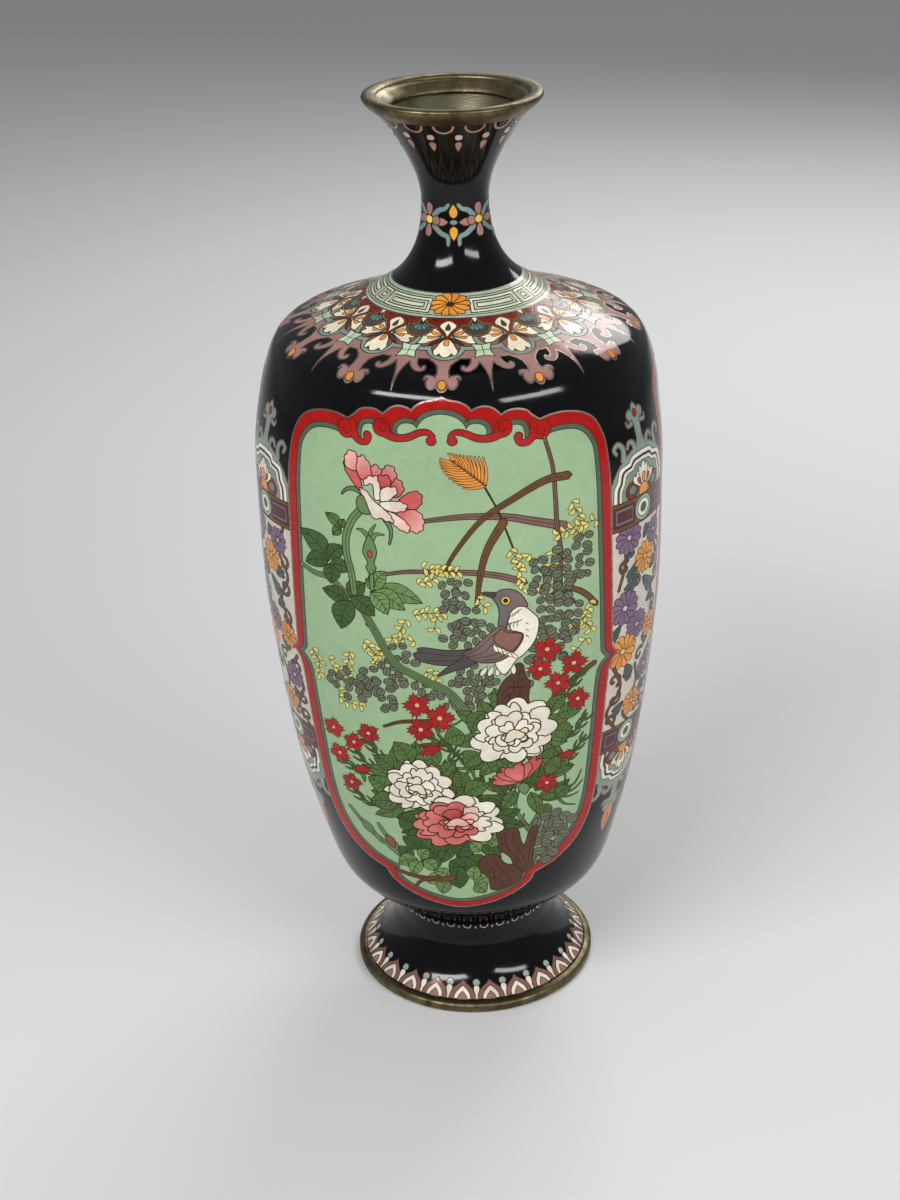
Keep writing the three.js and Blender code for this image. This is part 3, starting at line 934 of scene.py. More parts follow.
def draw_rose(field):
    """The pink and white blossom leaning out at the upper left, with its bud."""
    draw_branch(field, [-30 + 180j, -30.6 + 187j, -31.8 + 193j, -31.6 + 199j, -29.4 + 204.6j,
                        -26.2 + 208.4j], 2.0, 2.4, STEM_GREEN, "leaf")
    left_sepal = stroke([-25 + 213.4j, -28.4 + 214.8j, -30.8 + 214.2j, -32.2 + 212.6j], 1.8, 0.5)
    low_sepal = stroke([-19.2 + 206j, -17.6 + 203j, -17.4 + 200.4j, -18 + 197.6j], 1.7, 0.6)
    cup = smooth([-26.8 + 212.6j, -23.4 + 212.8j, -21.8 + 209.4j, -24 + 206.8j, -26.8 + 207.4j,
                  -27.8 + 210j])
    for shape in (left_sepal, low_sepal, cup):
        field.cell(shape, "leaf", STEM_GREEN)
    centre = -21 + 211j
    tips = fade(ROSE_PINK, SOFT_PINK, centre, 8, 17)
    blush = fade(WHITE, SOFT_PINK, centre, 2, 13)
    deep = fade((206, 72, 66), ROSE_PINK, centre, 4, 14)
    petals = [
        (deep, [-26.8 + 214.6j, -30.6 + 220.4j, -30.8 + 223.2j, -29.4 + 224j, -26.6 + 219.4j,
                -25.6 + 215.6j]),
        (tips, [-27.4 + 220.6j, -30.4 + 221.6j, -30.6 + 224.4j, -29.6 + 226.2j, -27.8 + 227j,
                -26.4 + 225.4j, -26 + 222.4j]),
        (tips, [-25.6 + 218j, -27 + 221j, -26.4 + 224.6j, -25 + 225.9j, -23.4 + 224.6j, -22.2 + 222.4j,
                -21.4 + 220.2j, -23 + 218.4j]),
        (tips, [-22 + 219j, -22.2 + 222.4j, -20.8 + 223.2j, -19 + 221.8j, -18.4 + 219.8j, -20 + 218j]),
        (tips, [-19.4 + 219j, -18.6 + 222j, -16.6 + 223.5j, -15.2 + 222.8j, -14.4 + 220j, -15.4 + 216.6j,
                -18 + 217.4j]),
        (deep, [-20.8 + 217.4j, -20.2 + 219.6j, -18 + 220.1j, -16.6 + 219.2j, -16.8 + 216.6j,
                -19 + 215.6j]),
        (tips, [-16.8 + 216.4j, -14.6 + 219.2j, -13.2 + 218.2j, -12.6 + 215.4j, -14.6 + 213j,
                -17 + 213.4j]),
        (deep, [-14.6 + 211.6j, -11.6 + 214.4j, -9.8 + 215.1j, -7.8 + 214.9j, -7 + 212.6j, -8.4 + 209.8j,
                -11.4 + 209.2j]),
        (tips, [-15.4 + 207.6j, -12.6 + 208.8j, -9.4 + 209j, -7 + 206.8j, -7 + 203.6j, -8.6 + 201.7j,
                -11.6 + 202.4j, -14 + 205j]),
        (blush, [-20.8 + 208.6j, -16.6 + 207.8j, -12.6 + 205.2j, -11.2 + 202.4j, -13.2 + 201.8j,
                 -16 + 203.6j, -19 + 206.4j]),
        (blush, [-22.4 + 216.6j, -25 + 216.2j, -24.4 + 218.6j, -22.6 + 219.4j, -20.8 + 219.4j,
                 -20 + 216.2j, -20.2 + 212.2j, -22 + 212j]),
        (blush, [-20.2 + 211.6j, -19.8 + 215.2j, -17.6 + 216.3j, -15.4 + 216.2j, -14.6 + 214.8j,
                 -16.4 + 212.6j, -18.4 + 211.2j]),
        (blush, [-20.6 + 210.8j, -17 + 211.6j, -13.4 + 211.4j, -11.8 + 209.9j, -12.8 + 208.6j,
                 -16 + 208j, -19 + 208.8j]),
        (blush, [-26.6 + 214.8j, -24.6 + 214.6j, -22.4 + 211.6j, -19.4 + 209j, -17 + 206.6j,
                 -16.6 + 204.8j, -18.4 + 204.9j, -20.4 + 205.8j, -22.6 + 205.6j, -24 + 208.4j,
                 -25 + 211.6j]),
    ]
    for colour, outline in petals:
        field.cell(frilled(smooth(outline, 8), centre), "bloom", colour, wire=0.36)
    sepals = [
        [-24 + 199j, -26.4 + 201.4j, -28 + 201.7j], [-24 + 199j, -23.6 + 201.4j, -22.2 + 203.6j],
        [-23.8 + 198.4j, -22.2 + 200.4j, -19.6 + 200.5j],
    ]
    for points in sepals:
        field.cell(stroke(points, 1.8, 0.4), "leaf", STEM_GREEN, wire=0.26)
    draw_branch(field, [-24.2 + 182j, -24.2 + 188j], 1.2, 1.4, STEM_GREEN, "leaf", grain=0)
    bud = [-24.4 + 187j, -25.8 + 189.4j, -25.2 + 191j, -26.6 + 194.4j, -25.6 + 198j, -24.4 + 200j,
           -23 + 198j, -22.2 + 194.4j, -23.2 + 191j, -22.6 + 189.2j]
    field.cell(smooth(bud), "leaf", STEM_GREEN)
    field.cell(place(ellipse(0.7, 1.3, 12), -24.4 + 193.8j), "red", (180, 72, 50), wire=0.26)


def draw_left_leaves(field):
    """The rose's leaves, and the light stem that runs down to the middle of the picture."""
    draw_branch(field, [-30.2 + 181j, -26.6 + 173j, -23.6 + 167j, -20.4 + 160.4j, -17 + 155.8j,
                        -12.6 + 153.2j, -6.6 + 150j, -1.4 + 147.4j, 2 + 143.6j, 5.4 + 139j, 9 + 135j],
                2.2, 3.2, STEM_GREEN, "leaf", grain=2)
    draw_branch(field, [-48 + 186.4j, -43 + 184.6j, -38.4 + 184.2j, -34.6 + 181.4j, -31 + 177j], 1.4, 2.2,
                STEM_GREEN, "leaf")
    thorn = stroke([-24.4 + 168.4j, -25.6 + 168.8j, -27 + 170j], 1.0, 0.3)
    field.cell(thorn, "leaf", STEM_GREEN, wire=0.24)
    draw_leaves(field, [
        (-37.6 + 189.6j, -47.4 + 198.4j, 7.4), (-37.6 + 190.4j, -32.6 + 195.4j, 5.2),
        (-38 + 189.6j, -46.2 + 187.4j, 5.4), (-37.6 + 188.6j, -30.8 + 187.6j, 5.0),
        (-37.8 + 188.8j, -37.6 + 182.2j, 5.6),
    ], DARK_LEAF)
    draw_leaves(field, [(-33.4 + 201.4j, -38 + 205.6j, 3.6), (-33 + 201j, -36 + 198.6j, 3.0),
                        (-33 + 201.4j, -32 + 204.4j, 2.4)], LEAF, 2)
    draw_leaves(field, [
        (-32 + 176.6j, -40.6 + 179.8j, 5.6), (-31.4 + 177.4j, -35 + 167j, 7.6),
        (-31.6 + 178.4j, -26.4 + 184j, 6.0), (-31 + 178.6j, -23.8 + 173j, 6.2),
    ], DARK_LEAF, 4)
    draw_leaves(field, [
        (-24.8 + 181.4j, -8.2 + 178.4j, 6.4), (-24.6 + 181j, -14 + 175.8j, 6.2),
        (-24.8 + 181j, -19.6 + 174j, 5.8), (-24 + 182j, -19.6 + 188.4j, 5.6),
        (-24 + 182j, -26 + 185.6j, 3.0),
    ], LIGHT_LEAF, 4)


def draw_blades_and_twigs(field):
    """The plume, the two brown grass blades, the twigs, and the yellow sprigs on them."""
    draw_branch(field, [-8.6 + 205.2j, 0 + 206.4j, 8 + 207.1j, 19 + 206.8j, 28 + 204.8j, 36.6 + 202.4j],
                1.2, 2.8, MAUVE_BROWN)
    draw_branch(field, [-19.4 + 187.6j, -12 + 188.8j, 0 + 188.9j, 8 + 188.8j, 17 + 187.6j,
                        24.4 + 185.2j], 1.0, 2.2, MAUVE_BROWN)
    draw_branch(field, [30.4 + 231.4j, 33 + 222j, 33.8 + 212j, 34.2 + 203j, 35.2 + 195j, 35 + 183j], 1.0,
                1.4, MAUVE_BROWN)
    field.line([12.2 + 217.6j, 16.4 + 209.4j, 19.4 + 201.4j, 21.6 + 195j], 0.7)
    draw_plume(field, 13 + 217j, 2.4 + 226j, 7.8)
    draw_branch(field, [-1.2 + 188.6j, 3.6 + 196.4j, 11.4 + 205.8j, 20.4 + 212j, 30.4 + 217.6j,
                        37.8 + 218.4j], 1.0, 2.6, BROWN)
    draw_branch(field, [9.4 + 178j, 10.6 + 187j, 13 + 196j, 18.4 + 205.4j], 1.3, 2.7, BROWN)
    draw_branch(field, [33.4 + 181j, 38 + 181.6j, 42.6 + 179j, 46.4 + 174.4j], 1.6, 1.8, BROWN, grain=0)
    sprigs = [
        [38.6 + 209.6j, 40.6 + 205j, 40 + 200j], [46 + 202.4j, 41 + 201.8j, 35 + 200j],
        [20 + 196j, 22.4 + 192j, 22.6 + 186.6j], [26 + 194.4j, 23 + 192.4j], [33 + 195j, 32.4 + 191j],
        [-7.6 + 190j, -4 + 189.4j, 3 + 188.8j], [-9.4 + 184.6j, -6 + 185.6j, -3 + 187.6j],
        [23.4 + 182.6j, 27 + 182.6j], [9.4 + 180.4j, 11.6 + 177.4j],
        [-11 + 174j, -7.4 + 175j, -2.4 + 175j], [-3.8 + 174j, -4.6 + 170j],
        [-14 + 172.4j, -16 + 168.4j, -18.6 + 166j], [-11.4 + 165.4j, -15 + 166j],
        [-28 + 163.4j, -25 + 160.4j, -24.6 + 156j], [-22 + 161.6j, -24.4 + 159.4j],
        [-33 + 159j, -33.6 + 155j, -35.4 + 151.6j], [-46.2 + 156.6j, -44 + 153j, -44.6 + 148j],
        [-40 + 154.4j, -38.4 + 151.8j, -34 + 151.6j], [-37.4 + 143.6j, -37 + 140.4j, -31 + 139.6j],
        [-8 + 154.4j, -6 + 153.4j, -5 + 150.8j], [44 + 175.6j, 42.6 + 170j, 44.4 + 166.6j],
        [43 + 171j, 39 + 169.4j], [43 + 163j, 40.6 + 160.4j],
    ]
    for seed, path in enumerate(sprigs, 1):
        draw_florets(field, path, seed)


def draw_clovers(field):
    """The grey-green sprays round the bird and on the left."""
    sprays = [
        [42.4 + 199j, 41.6 + 194j, 42.6 + 188j, 40.4 + 184j], [36.4 + 195j, 35.6 + 188j, 36.8 + 181j],
        [28.2 + 193j, 29.4 + 187j, 28.4 + 181j], [31.6 + 190j, 32.6 + 184j, 33.8 + 178j],
        [36 + 184j, 36.6 + 177j, 35.6 + 171j], [39.6 + 177j, 38.6 + 171j, 37.4 + 165j],
        [30.4 + 180j, 31 + 173j, 30.4 + 167j], [27.8 + 169j, 28.4 + 163j, 27 + 157j],
        [34.6 + 167j, 36 + 161.6j, 34 + 157.6j],
        [-0.4 + 186j, 1.4 + 181j, 0.4 + 176j], [5 + 186j, 4.4 + 181j, 3 + 176.4j],
        [7.6 + 177j, 7 + 172j, 2.6 + 169j], [12.6 + 172j, 9 + 167.6j, 4 + 165.4j, 0 + 166j],
        [3.6 + 173j, 4.6 + 168j], [-17 + 163.4j, -16 + 159.6j, -13.4 + 157j],
        [-22 + 157.6j, -19 + 153.4j, -17 + 148j], [-27 + 154j, -26.4 + 149.4j, -26 + 144j],
        [-41 + 149j, -37 + 147.4j, -33 + 150j, -29 + 147.6j], [-35 + 144j, -31 + 143.6j, -28.4 + 146j],
        [-22.6 + 150j, -21.6 + 144j, -20.6 + 139j], [-12 + 151j, -9 + 148j, -5 + 144.6j],
        [-1.4 + 143.4j, 3 + 141j], [4 + 157j, 9 + 154.4j, 13 + 150j], [6 + 152j, 7 + 146j, 8 + 141j],
        [11 + 150j, 12.4 + 145j, 13 + 140j], [1 + 152j, 4 + 149.4j], [26 + 153j, 24 + 148j],
    ]
    for seed, path in enumerate(sprays, 1):
        draw_clover(field, path, seed)


BIRD_BROWN = (126, 104, 102)
BIRD_GREY = (104, 100, 106)
BIRD_DARK = (74, 68, 68)


def draw_stump(field):
    """The broken branch that the bird stands on."""
    stump = [15.6 + 138j, 15.4 + 147j, 17.4 + 151.4j, 20 + 154j, 21.4 + 157.4j, 23.6 + 156.8j,
             24 + 152.4j, 25.6 + 150.4j, 25 + 145j, 24.6 + 138j]
    field.cell(smooth(stump, 3), "wood", TRUNK)
    draw_grain(field, [[17 + 140j, 17.4 + 145j, 20.4 + 147j, 20.6 + 151j],
                       [22.6 + 139j, 22 + 146j, 24 + 150j], [19.6 + 141j, 20.6 + 144.6j, 23.4 + 146j],
                       [21.8 + 149.6j, 22.4 + 154.4j], [16.6 + 146j, 19 + 148.6j, 24.6 + 148.6j],
                       [18.6 + 149.4j, 21 + 148.4j, 23.4 + 151.6j],
                       [15.8 + 142j, 18.6 + 143j, 19 + 146.2j], [20.6 + 153j, 23.4 + 154.6j]])


def draw_bird(field):
    """The bird on the stump, looking left."""
    tail = [9 + 162.6j, 0 + 162.3j, -8 + 163.1j, -10.6 + 162.6j, -10.4 + 161.6j, -12 + 160.6j,
            -10.6 + 158.6j, -7 + 157.4j, -1.6 + 156.8j, 6 + 157.6j]
    field.cell(smooth(tail, 4), "bird", BIRD_DARK)
    draw_grain(field, [[-10.4 + 161.4j, 0 + 160.4j, 8 + 161j], [-8 + 158.6j, 0 + 158.6j, 7 + 159.4j]], 0.22)
    far_wing = [13 + 161j, 6 + 156.4j, 1 + 154.8j, -4.4 + 152.6j, -2 + 155.4j, 2.6 + 158.6j, 8 + 163j]
    field.cell(smooth(far_wing, 4), "bird", BIRD_DARK)
    for fringe in range(5):
        at = 12.4 + 2.0 * fringe + 156.8j + 0.3j * fringe
        field.cell(place(leaf(4.6, 1.7, 0.6), at, 236 + 9 * fringe), "bloom", WHITE, wire=0.24)
    breast = [23.6 + 177.4j, 26 + 175.6j, 28.4 + 172.6j, 28.3 + 168.6j, 27 + 164.6j, 24 + 160.8j,
              21.4 + 158.6j, 19.4 + 155.4j, 17.4 + 153.6j, 15.4 + 155.8j, 15 + 158.6j, 19 + 161.4j,
              21.6 + 165j, 20 + 169.4j, 19 + 173j, 20.6 + 176.6j]
    field.cell(smooth(breast, 4), "bloom", WHITE)
    for i in range(3):
        field.line([24.6 + 1j * (171.6 - 2.2 * i), 25.4 + 1j * (171 - 2.2 * i)], 0.3, per_edge=1)
    head = [15.8 + 182.2j, 17.2 + 183j, 20.2 + 183.2j, 23 + 181.6j, 25 + 178.4j, 25 + 177j,
            22.4 + 177.2j, 20 + 175.4j, 19 + 172j, 18 + 169.8j, 16 + 170.6j, 16.4 + 175j,
            15.8 + 178j, 14.4 + 180.4j]
    field.cell(smooth(head, 4), "bird", fade(BIRD_BROWN, BIRD_GREY, 23 + 181j, 2, 9))
    beak = [10.8 + 182.2j, 12.4 + 182.5j, 15.7 + 182.2j, 15.4 + 180.9j, 14.6 + 180.2j, 12.8 + 180.9j,
            11.4 + 181.5j]
    field.cell(beak, "bird", BIRD_DARK, wire=0.28)
    field.line([11.2 + 181.8j, 15.2 + 181.3j], 0.24, per_edge=1)
    field.cell(place(disc(1.45, 18), 18.5 + 179.4j), "yellow", (226, 190, 70), wire=0.28)
    field.cell(place(disc(0.72, 12), 18.5 + 179.4j), "bird", (22, 20, 20), wire=0.2)
    for i in range(4):
        low = 18.6 + 1.1 * i + 1j * (169.6 + 0.3 * i)
        field.line([low, low + 0.2 + 1.4j, low + 1.5 + 2.2j], 0.26, per_edge=3)
        high = 19.4 + 0.9 * i + 1j * (173 + 0.6 * i)
        field.line([high, high + 0.4 + 1.1j, high + 1.4 + 1.5j], 0.24, per_edge=3)
    wing = [16.6 + 170.8j, 12 + 167.2j, 8.4 + 163.6j, 4.6 + 161.2j, 9 + 158.2j, 15.4 + 158.2j,
            20.4 + 161.2j, 23.2 + 165j, 23.7 + 167.6j, 22 + 168.6j, 18.8 + 169.4j]
    field.cell(smooth(wing, 4), "bird", fade(BIRD_BROWN, BIRD_DARK, 14 + 167j, 3, 17))
    shoulder = [16.8 + 169.8j, 14.4 + 166.2j, 17 + 163.4j, 20 + 162j, 22.6 + 164.8j, 23.4 + 167.5j,
                21.8 + 168.2j, 18.6 + 168.6j]
    field.cell(smooth(shoulder, 4), "bird", (134, 92, 82))
    for i in range(5):
        at = 14.2 + 1.35 * i + 1j * (164.6 - 0.75 * i)
        field.cell(place(leaf(3.4, 1.3, 0.6), at, -62 + 4 * i), "bloom", CREAM, wire=0.2)
    draw_grain(field, [[5.4 + 160.8j, 10 + 163.4j, 15 + 168.4j], [6 + 160j, 11 + 161.6j, 14.4 + 165j],
                       [8 + 159.4j, 13 + 160.4j, 18 + 162j], [11 + 158.6j, 16 + 159.6j, 20.6 + 162.4j]],
               0.24)


def draw_trunk(field):
    """The forked trunk at the foot of the picture, and the twig beside it."""
    fork = [13.2 + 91.6j, 16.6 + 93.2j, 20.4 + 92.6j, 21.2 + 88j, 22.4 + 86j, 24.4 + 92.6j,
            27 + 93j, 25.8 + 86j, 24.8 + 80j, 25 + 76j, 21.4 + 73.6j, 18.6 + 77j, 17.4 + 81j,
            14 + 84.6j, 13.8 + 88j]
    field.cell(smooth(fork, 3), "wood", TRUNK)
    foot = [7.2 + 80.6j, 9.6 + 82.6j, 13.4 + 82.4j, 15.4 + 78.8j, 19 + 77.4j, 21 + 74.4j,
            20.2 + 70.6j, 15 + 67.6j, 10.4 + 67.6j, 10 + 72.6j, 6.8 + 76.6j]
    field.cell(smooth(foot, 3), "wood", TRUNK)
    draw_grain(field, [[16 + 91.6j, 16.4 + 86j, 19 + 81j, 19.6 + 76j],
                       [19 + 92j, 19 + 87j, 21.4 + 82j, 22.4 + 76j], [25 + 90.6j, 24 + 84j, 23.4 + 78j],
                       [9 + 79.6j, 11.4 + 76j, 12 + 70j],
                       [12.4 + 81j, 13.4 + 76.6j, 16.4 + 73.4j, 17 + 69.6j], [16.6 + 77j, 18.6 + 73.6j],
                       [14.8 + 90j, 15 + 87j, 17.6 + 84j], [20.4 + 86j, 20 + 80.6j, 21.4 + 77j],
                       [8.6 + 77j, 10.6 + 75j], [13.6 + 73.4j, 14 + 70j, 16 + 68.6j],
                       [26 + 91j, 25.2 + 87j]])
    draw_branch(field, [-22 + 73.4j, -16 + 72.2j, -8 + 71.8j, -2 + 73j], 1.4, 2.2, BROWN)
    draw_branch(field, [-15 + 67.6j, -13 + 70.4j, -7 + 73j], 1.0, 1.4, BROWN, grain=0)


def leaf_ring(field, at, reach, count, seed, colour, first=0.0, last=360.0):
    """Leaves that stick out from behind a blossom."""
    chance = random.Random(seed)
    for i in range(count):
        angle = first + (last - first) * (i + chance.uniform(-0.2, 0.2)) / max(1, count - 1)
        base = at + turn(angle) * reach * 0.5
        draw_leaf(field, base, angle + chance.uniform(-18, 18), reach * chance.uniform(0.62, 0.85),
                  reach * 0.36, colour, 3, chance.uniform(-0.12, 0.12))


def draw_grass(field, root, tips, width=1.3, colour=LEAF):
    """Narrow curved blades from one root."""
    for tip in tips:
        reach = tip - root
        middle = root + reach * 0.55 - 1j * reach * 0.16 * np.sign(reach.real)
        field.cell(stroke([root, middle, tip], width, 0.3, 4), "leaf", colour, wire=0.24)


def draw_sprig(field, path, pairs=3):
    """A pink's thin stem with narrow hooked leaves in pairs."""
    field.cell(stroke(path, 0.8, 0.8, 4), "leaf", DARK_LEAF, wire=0.22)
    curve = smooth(path, 8, closed=False)
    for i in range(pairs):
        at = curve[(i + 1) * (len(curve) - 2) // (pairs + 1)]
        heading = math.degrees(np.angle(curve[-1] - curve[0]))
        for side in (-1, 1):
            hook = stroke([0, 1.7 + 0.1j * side, 3.4 + 1.3j * side], 1.3, 0.5, 4)
            field.cell(place(hook, at, heading + 180 - 48 * side), "leaf", DARK_LEAF, wire=0.22)


def draw_greenery(field):
    """The leaves, grass and twigs of the lower half."""
    draw_branch(field, [-23 + 132.8j, -17 + 135.2j, -8 + 136j, 0 + 137.4j], 0.9, 1.8, BROWN)
    draw_branch(field, [-16 + 124.6j, -10 + 126.6j, -2 + 127.2j], 0.9, 1.8, BROWN)
    draw_branch(field, [46 + 153.6j, 42 + 151.4j, 37 + 147.8j, 33 + 143.6j], 1.8, 2.2, BROWN)
    sprigs = [
        [-28.4 + 127j, -26 + 121.6j, -20.6 + 116j], [-33.6 + 122.6j, -30 + 117.2j, -22 + 113j],
        [-39.2 + 116.6j, -33 + 113.6j, -26 + 112j], [-35.6 + 105.6j, -31 + 101j, -24 + 99j],
        [42 + 152j, 38 + 146j, 33 + 139j], [43.4 + 135j, 39.6 + 129.6j, 34 + 125j],
        [43 + 126.6j, 39 + 121j, 34 + 114j], [1.8 + 125j, -2 + 119.6j, -6 + 114j],
        [-9 + 131j, -3 + 127j, 3 + 121j],
    ]
    for path in sprigs:
        draw_sprig(field, path)
    draw_grass(field, 33 + 105j, [41.6 + 113j, 42 + 108.6j, 40.6 + 104j, 39.6 + 99j, 36 + 113j])
    draw_grass(field, 6 + 118j, [-3 + 120.6j, -2 + 114j, 1.6 + 123j, 9 + 112j, 12 + 120j])
    draw_grass(field, -6 + 135j, [-3.4 + 132j, 4 + 137.4j, -1 + 128j])
    draw_grass(field, 24 + 92j, [22 + 110.6j, 26 + 106j, 22.6 + 99j, 27 + 99.4j], 1.8, STEM_GREEN)
    for root, tip in ((-26 + 84.6j, -37.6 + 97j), (-21.4 + 84j, -27.4 + 92.4j), (-19.4 + 80j, -26.4 + 86j)):
        draw_branch(field, [tip, (root + tip) / 2 - 0.6, root], 1.0, 2.2, STEM_GREEN, "leaf", grain=0)
    field.cell(place(leaf(7, 3.4, 0.5), -33.4 + 92.6j, -52), "leaf", STEM_GREEN)
    field.cell(place(leaf(6, 3.2, 0.5), -24.6 + 88.4j, -64), "wood", (140, 84, 56))
    leaf_ring(field, 20 + 131j, 15.5, 12, 3, LEAF, 110, 400)
    leaf_ring(field, -12 + 109j, 15.4, 12, 5, LEAF)
    leaf_ring(field, 1 + 97j, 17, 13, 6, DARK_LEAF)
    leaf_ring(field, 24 + 114j, 13, 10, 8, LEAF)
    leaf_ring(field, 22 + 103j, 13, 11, 9, DARK_LEAF, 10, 200)
    draw_leaves(field, [
        (-15 + 118.6j, -20 + 127.2j, 8.0), (-21 + 116j, -27 + 120.6j, 6.4), (-12 + 118j, -4 + 116j, 6.6),
        (4 + 131j, -3 + 128.6j, 7.4), (9 + 124j, 3.6 + 118.6j, 7.0), (11 + 140j, 6 + 132j, 6.6),
        (34 + 137j, 41.6 + 137.4j, 6.4), (33 + 131j, 38.6 + 129j, 6.2), (32 + 139j, 36.4 + 144j, 5.2),
        (2 + 110j, 1 + 117j, 6.4), (3 + 107j, 11.6 + 111.6j, 6.6), (-22 + 106j, -29.6 + 111.4j, 7.2),
        (-20 + 102j, -29.4 + 101.4j, 7.4), (28 + 122j, 33 + 124.6j, 7.2), (30 + 118j, 34.4 + 115.4j, 7.6),
        (34 + 106j, 27.4 + 105j, 5.2), (33 + 104j, 38 + 107.6j, 5.0), (30 + 102j, 29 + 97j, 5.4),
    ], LEAF, 4)
    draw_leaves(field, [
        (-7 + 82j, -15 + 86.6j, 8.4), (-4 + 84j, -8 + 90.4j, 8.0), (0 + 82j, 4 + 88.6j, 8.6),
        (-3 + 80j, 4 + 74.4j, 9), (-7 + 82j, -11.6 + 76.4j, 8), (3 + 82j, 7.4 + 77j, 7.4),
        (0 + 78j, 0 + 68.4j, 8.4), (-13 + 84j, -19 + 88.6j, 6), (-16 + 84j, -19.6 + 79j, 6),
        (-20 + 96j, -14 + 93.6j, 8.4),
    ], DARK_LEAF, 4)
    draw_leaves(field, [
        (-14 + 79.6j, -21 + 76.4j, 5.6), (-13 + 79j, -16 + 72.6j, 5), (-12 + 79.6j, -7.6 + 75.4j, 5.4),
        (-13 + 80j, -10 + 84.4j, 4.6), (-5 + 72.6j, -11 + 70j, 5.4), (-4 + 71.6j, -6 + 65.6j, 5.2),
        (-3 + 73j, -8.6 + 75.6j, 4.6), (5 + 70.4j, 11 + 73.4j, 6), (5 + 70j, 8.6 + 66.4j, 5.4),
        (5 + 72j, 6 + 78.4j, 5), (10.6 + 86j, 15 + 90.6j, 4.8), (7.4 + 84j, 4 + 88j, 4.8),
        (10 + 87j, 7 + 92j, 4.6),
    ], LIGHT_LEAF, 3)
    low_clovers = [[27 + 97j, 30 + 91j, 28 + 84j, 27 + 79j], [34 + 97j, 33.6 + 91j, 32 + 84j],
                   [31 + 96j, 36 + 92j], [30 + 82j, 27 + 77j]]
    for seed, path in enumerate(low_clovers, 31):
        draw_clover(field, path, seed, 4.2, 3.4)
    draw_trunk(field)
    draw_stump(field)


def draw_blossoms(field):
    """The peonies and the red pinks."""
    def white_petal(_, middle):
        return fade(CREAM, WHITE, middle, 0, 6)

    def pink_petal(angle, middle):
        if math.cos(math.radians(angle - 20)) > 0.25:
            return fade((236, 158, 150), WHITE, middle, 3, 9)
        return fade((178, 62, 64), (210, 116, 112), middle, 2, 10)

    draw_peony(field, 20 + 131.4j, 29, 25, 24, white_petal, CREAM, 4)
    draw_peony(field, -12.4 + 109.4j, 26, 21, -18, white_petal, CREAM, 14)
    draw_peony(field, 0.4 + 96.6j, 33, 21, 6, pink_petal, SOFT_PINK, 8)
    side_pink = fade((212, 112, 108), (188, 72, 72), 21 + 111j, 3, 12)
    for angle, length, width in ((172, 10, 4.2), (146, 9, 5), (58, 11.6, 4.4), (82, 8.4, 6), (114, 7.6, 7)):
        field.cell(place(scalloped(length, width, 2), 22 + 112j, angle), "bloom", side_pink)
    field.cell(place(leaf(5, 3.6, 0.4), 22.4 + 111.6j, -80), "leaf", STEM_GREEN)
    pinks = [
        (31 + 161.6j, 4.4), (28.8 + 154.8j, 4.0), (39.2 + 155.2j, 4.3), (34.2 + 148.8j, 4.2),
        (40.4 + 141.6j, 4.0), (-11.6 + 141.8j, 4.6), (-4.2 + 137.2j, 5.0), (-10.8 + 132.6j, 4.6),
        (-40.6 + 128.4j, 3.9), (-28.4 + 129.2j, 3.9), (-33.6 + 124.6j, 3.7), (-39.2 + 118.6j, 3.8),
        (-35.6 + 107.6j, 3.7), (30.2 + 110.6j, 3.8),
    ]
    for i, (at, radius) in enumerate(pinks):
        draw_dianthus(field, at, radius, 37 * i, i)
    draw_side_dianthus(field, -31.4 + 112.6j, 7, 8)
    draw_side_dianthus(field, 36.6 + 119.4j, 6.4, 0)
    draw_side_dianthus(field, -7.2 + 123j, 9, 22)


def draw_picture(field):
    """The garden picture of a panel, from the back to the front."""
    draw_blades_and_twigs(field)
    draw_clovers(field)
    draw_left_leaves(field)
    draw_rose(field)
    field.metal = "wires"
    draw_greenery(field)
    field.metal = "bronze"
    draw_bird(field)
    draw_blossoms(field)

# ---------------------------------------------------------------- the large panels

RED = (172, 20, 16)
SHADOW_GREEN = (86, 100, 82)
PALE_GREEN = (154, 183, 142)


def runs(*pieces):
    """Smooth open stretches joined at corners."""
    return np.concatenate([smooth(piece, 5, closed=False)[:-1] for piece in pieces])


def both_sides(half):
    """A closed outline from its left half, which starts and ends near the centre line."""
    mirrored = -np.conj(half[::-1])
    return np.concatenate([half, mirrored[abs(mirrored.real) > 1e-6]])


def panel_outline():
    """The outer edge of a panel's red frame."""
    return both_sides(runs(
        [245j, -2 + 244.2j, -5 + 243.6j, -7.4 + 242.4j, -8.6 + 241j],
        [-8.6 + 241j, -10.3 + 241.8j, -12.6 + 242.1j, -15 + 241.3j, -17.4 + 239.3j],
        [-17.4 + 239.3j, -19.3 + 240.3j, -22 + 240.5j, -24.8 + 239.8j, -26.8 + 238.1j, -29 + 236.6j],
        [-29 + 236.6j, -32 + 237.3j, -35.5 + 237.5j, -39 + 237.1j, -43.5 + 235.8j, -47.3 + 233.3j,
         -49.8 + 229j, -51 + 223j, -51.4 + 205j, -52 + 180j, -52.3 + 160j, -52.6 + 157j],
        [-52.6 + 157j, -53.6 + 155.5j, -54.8 + 154.5j],
        [-54.8 + 154.5j, -52.5 + 152.5j, -50.9 + 148j, -49.3 + 130j, -47.4 + 110j, -45.8 + 98j,
         -43.4 + 89.5j, -39.5 + 82.5j, -33.5 + 77j, -29.5 + 74.8j, -25.4 + 73j],
        [-25.4 + 73j, -23.6 + 69.5j, -18.8 + 65.6j, -12 + 62.4j, -6 + 60.5j, 59.3j]))


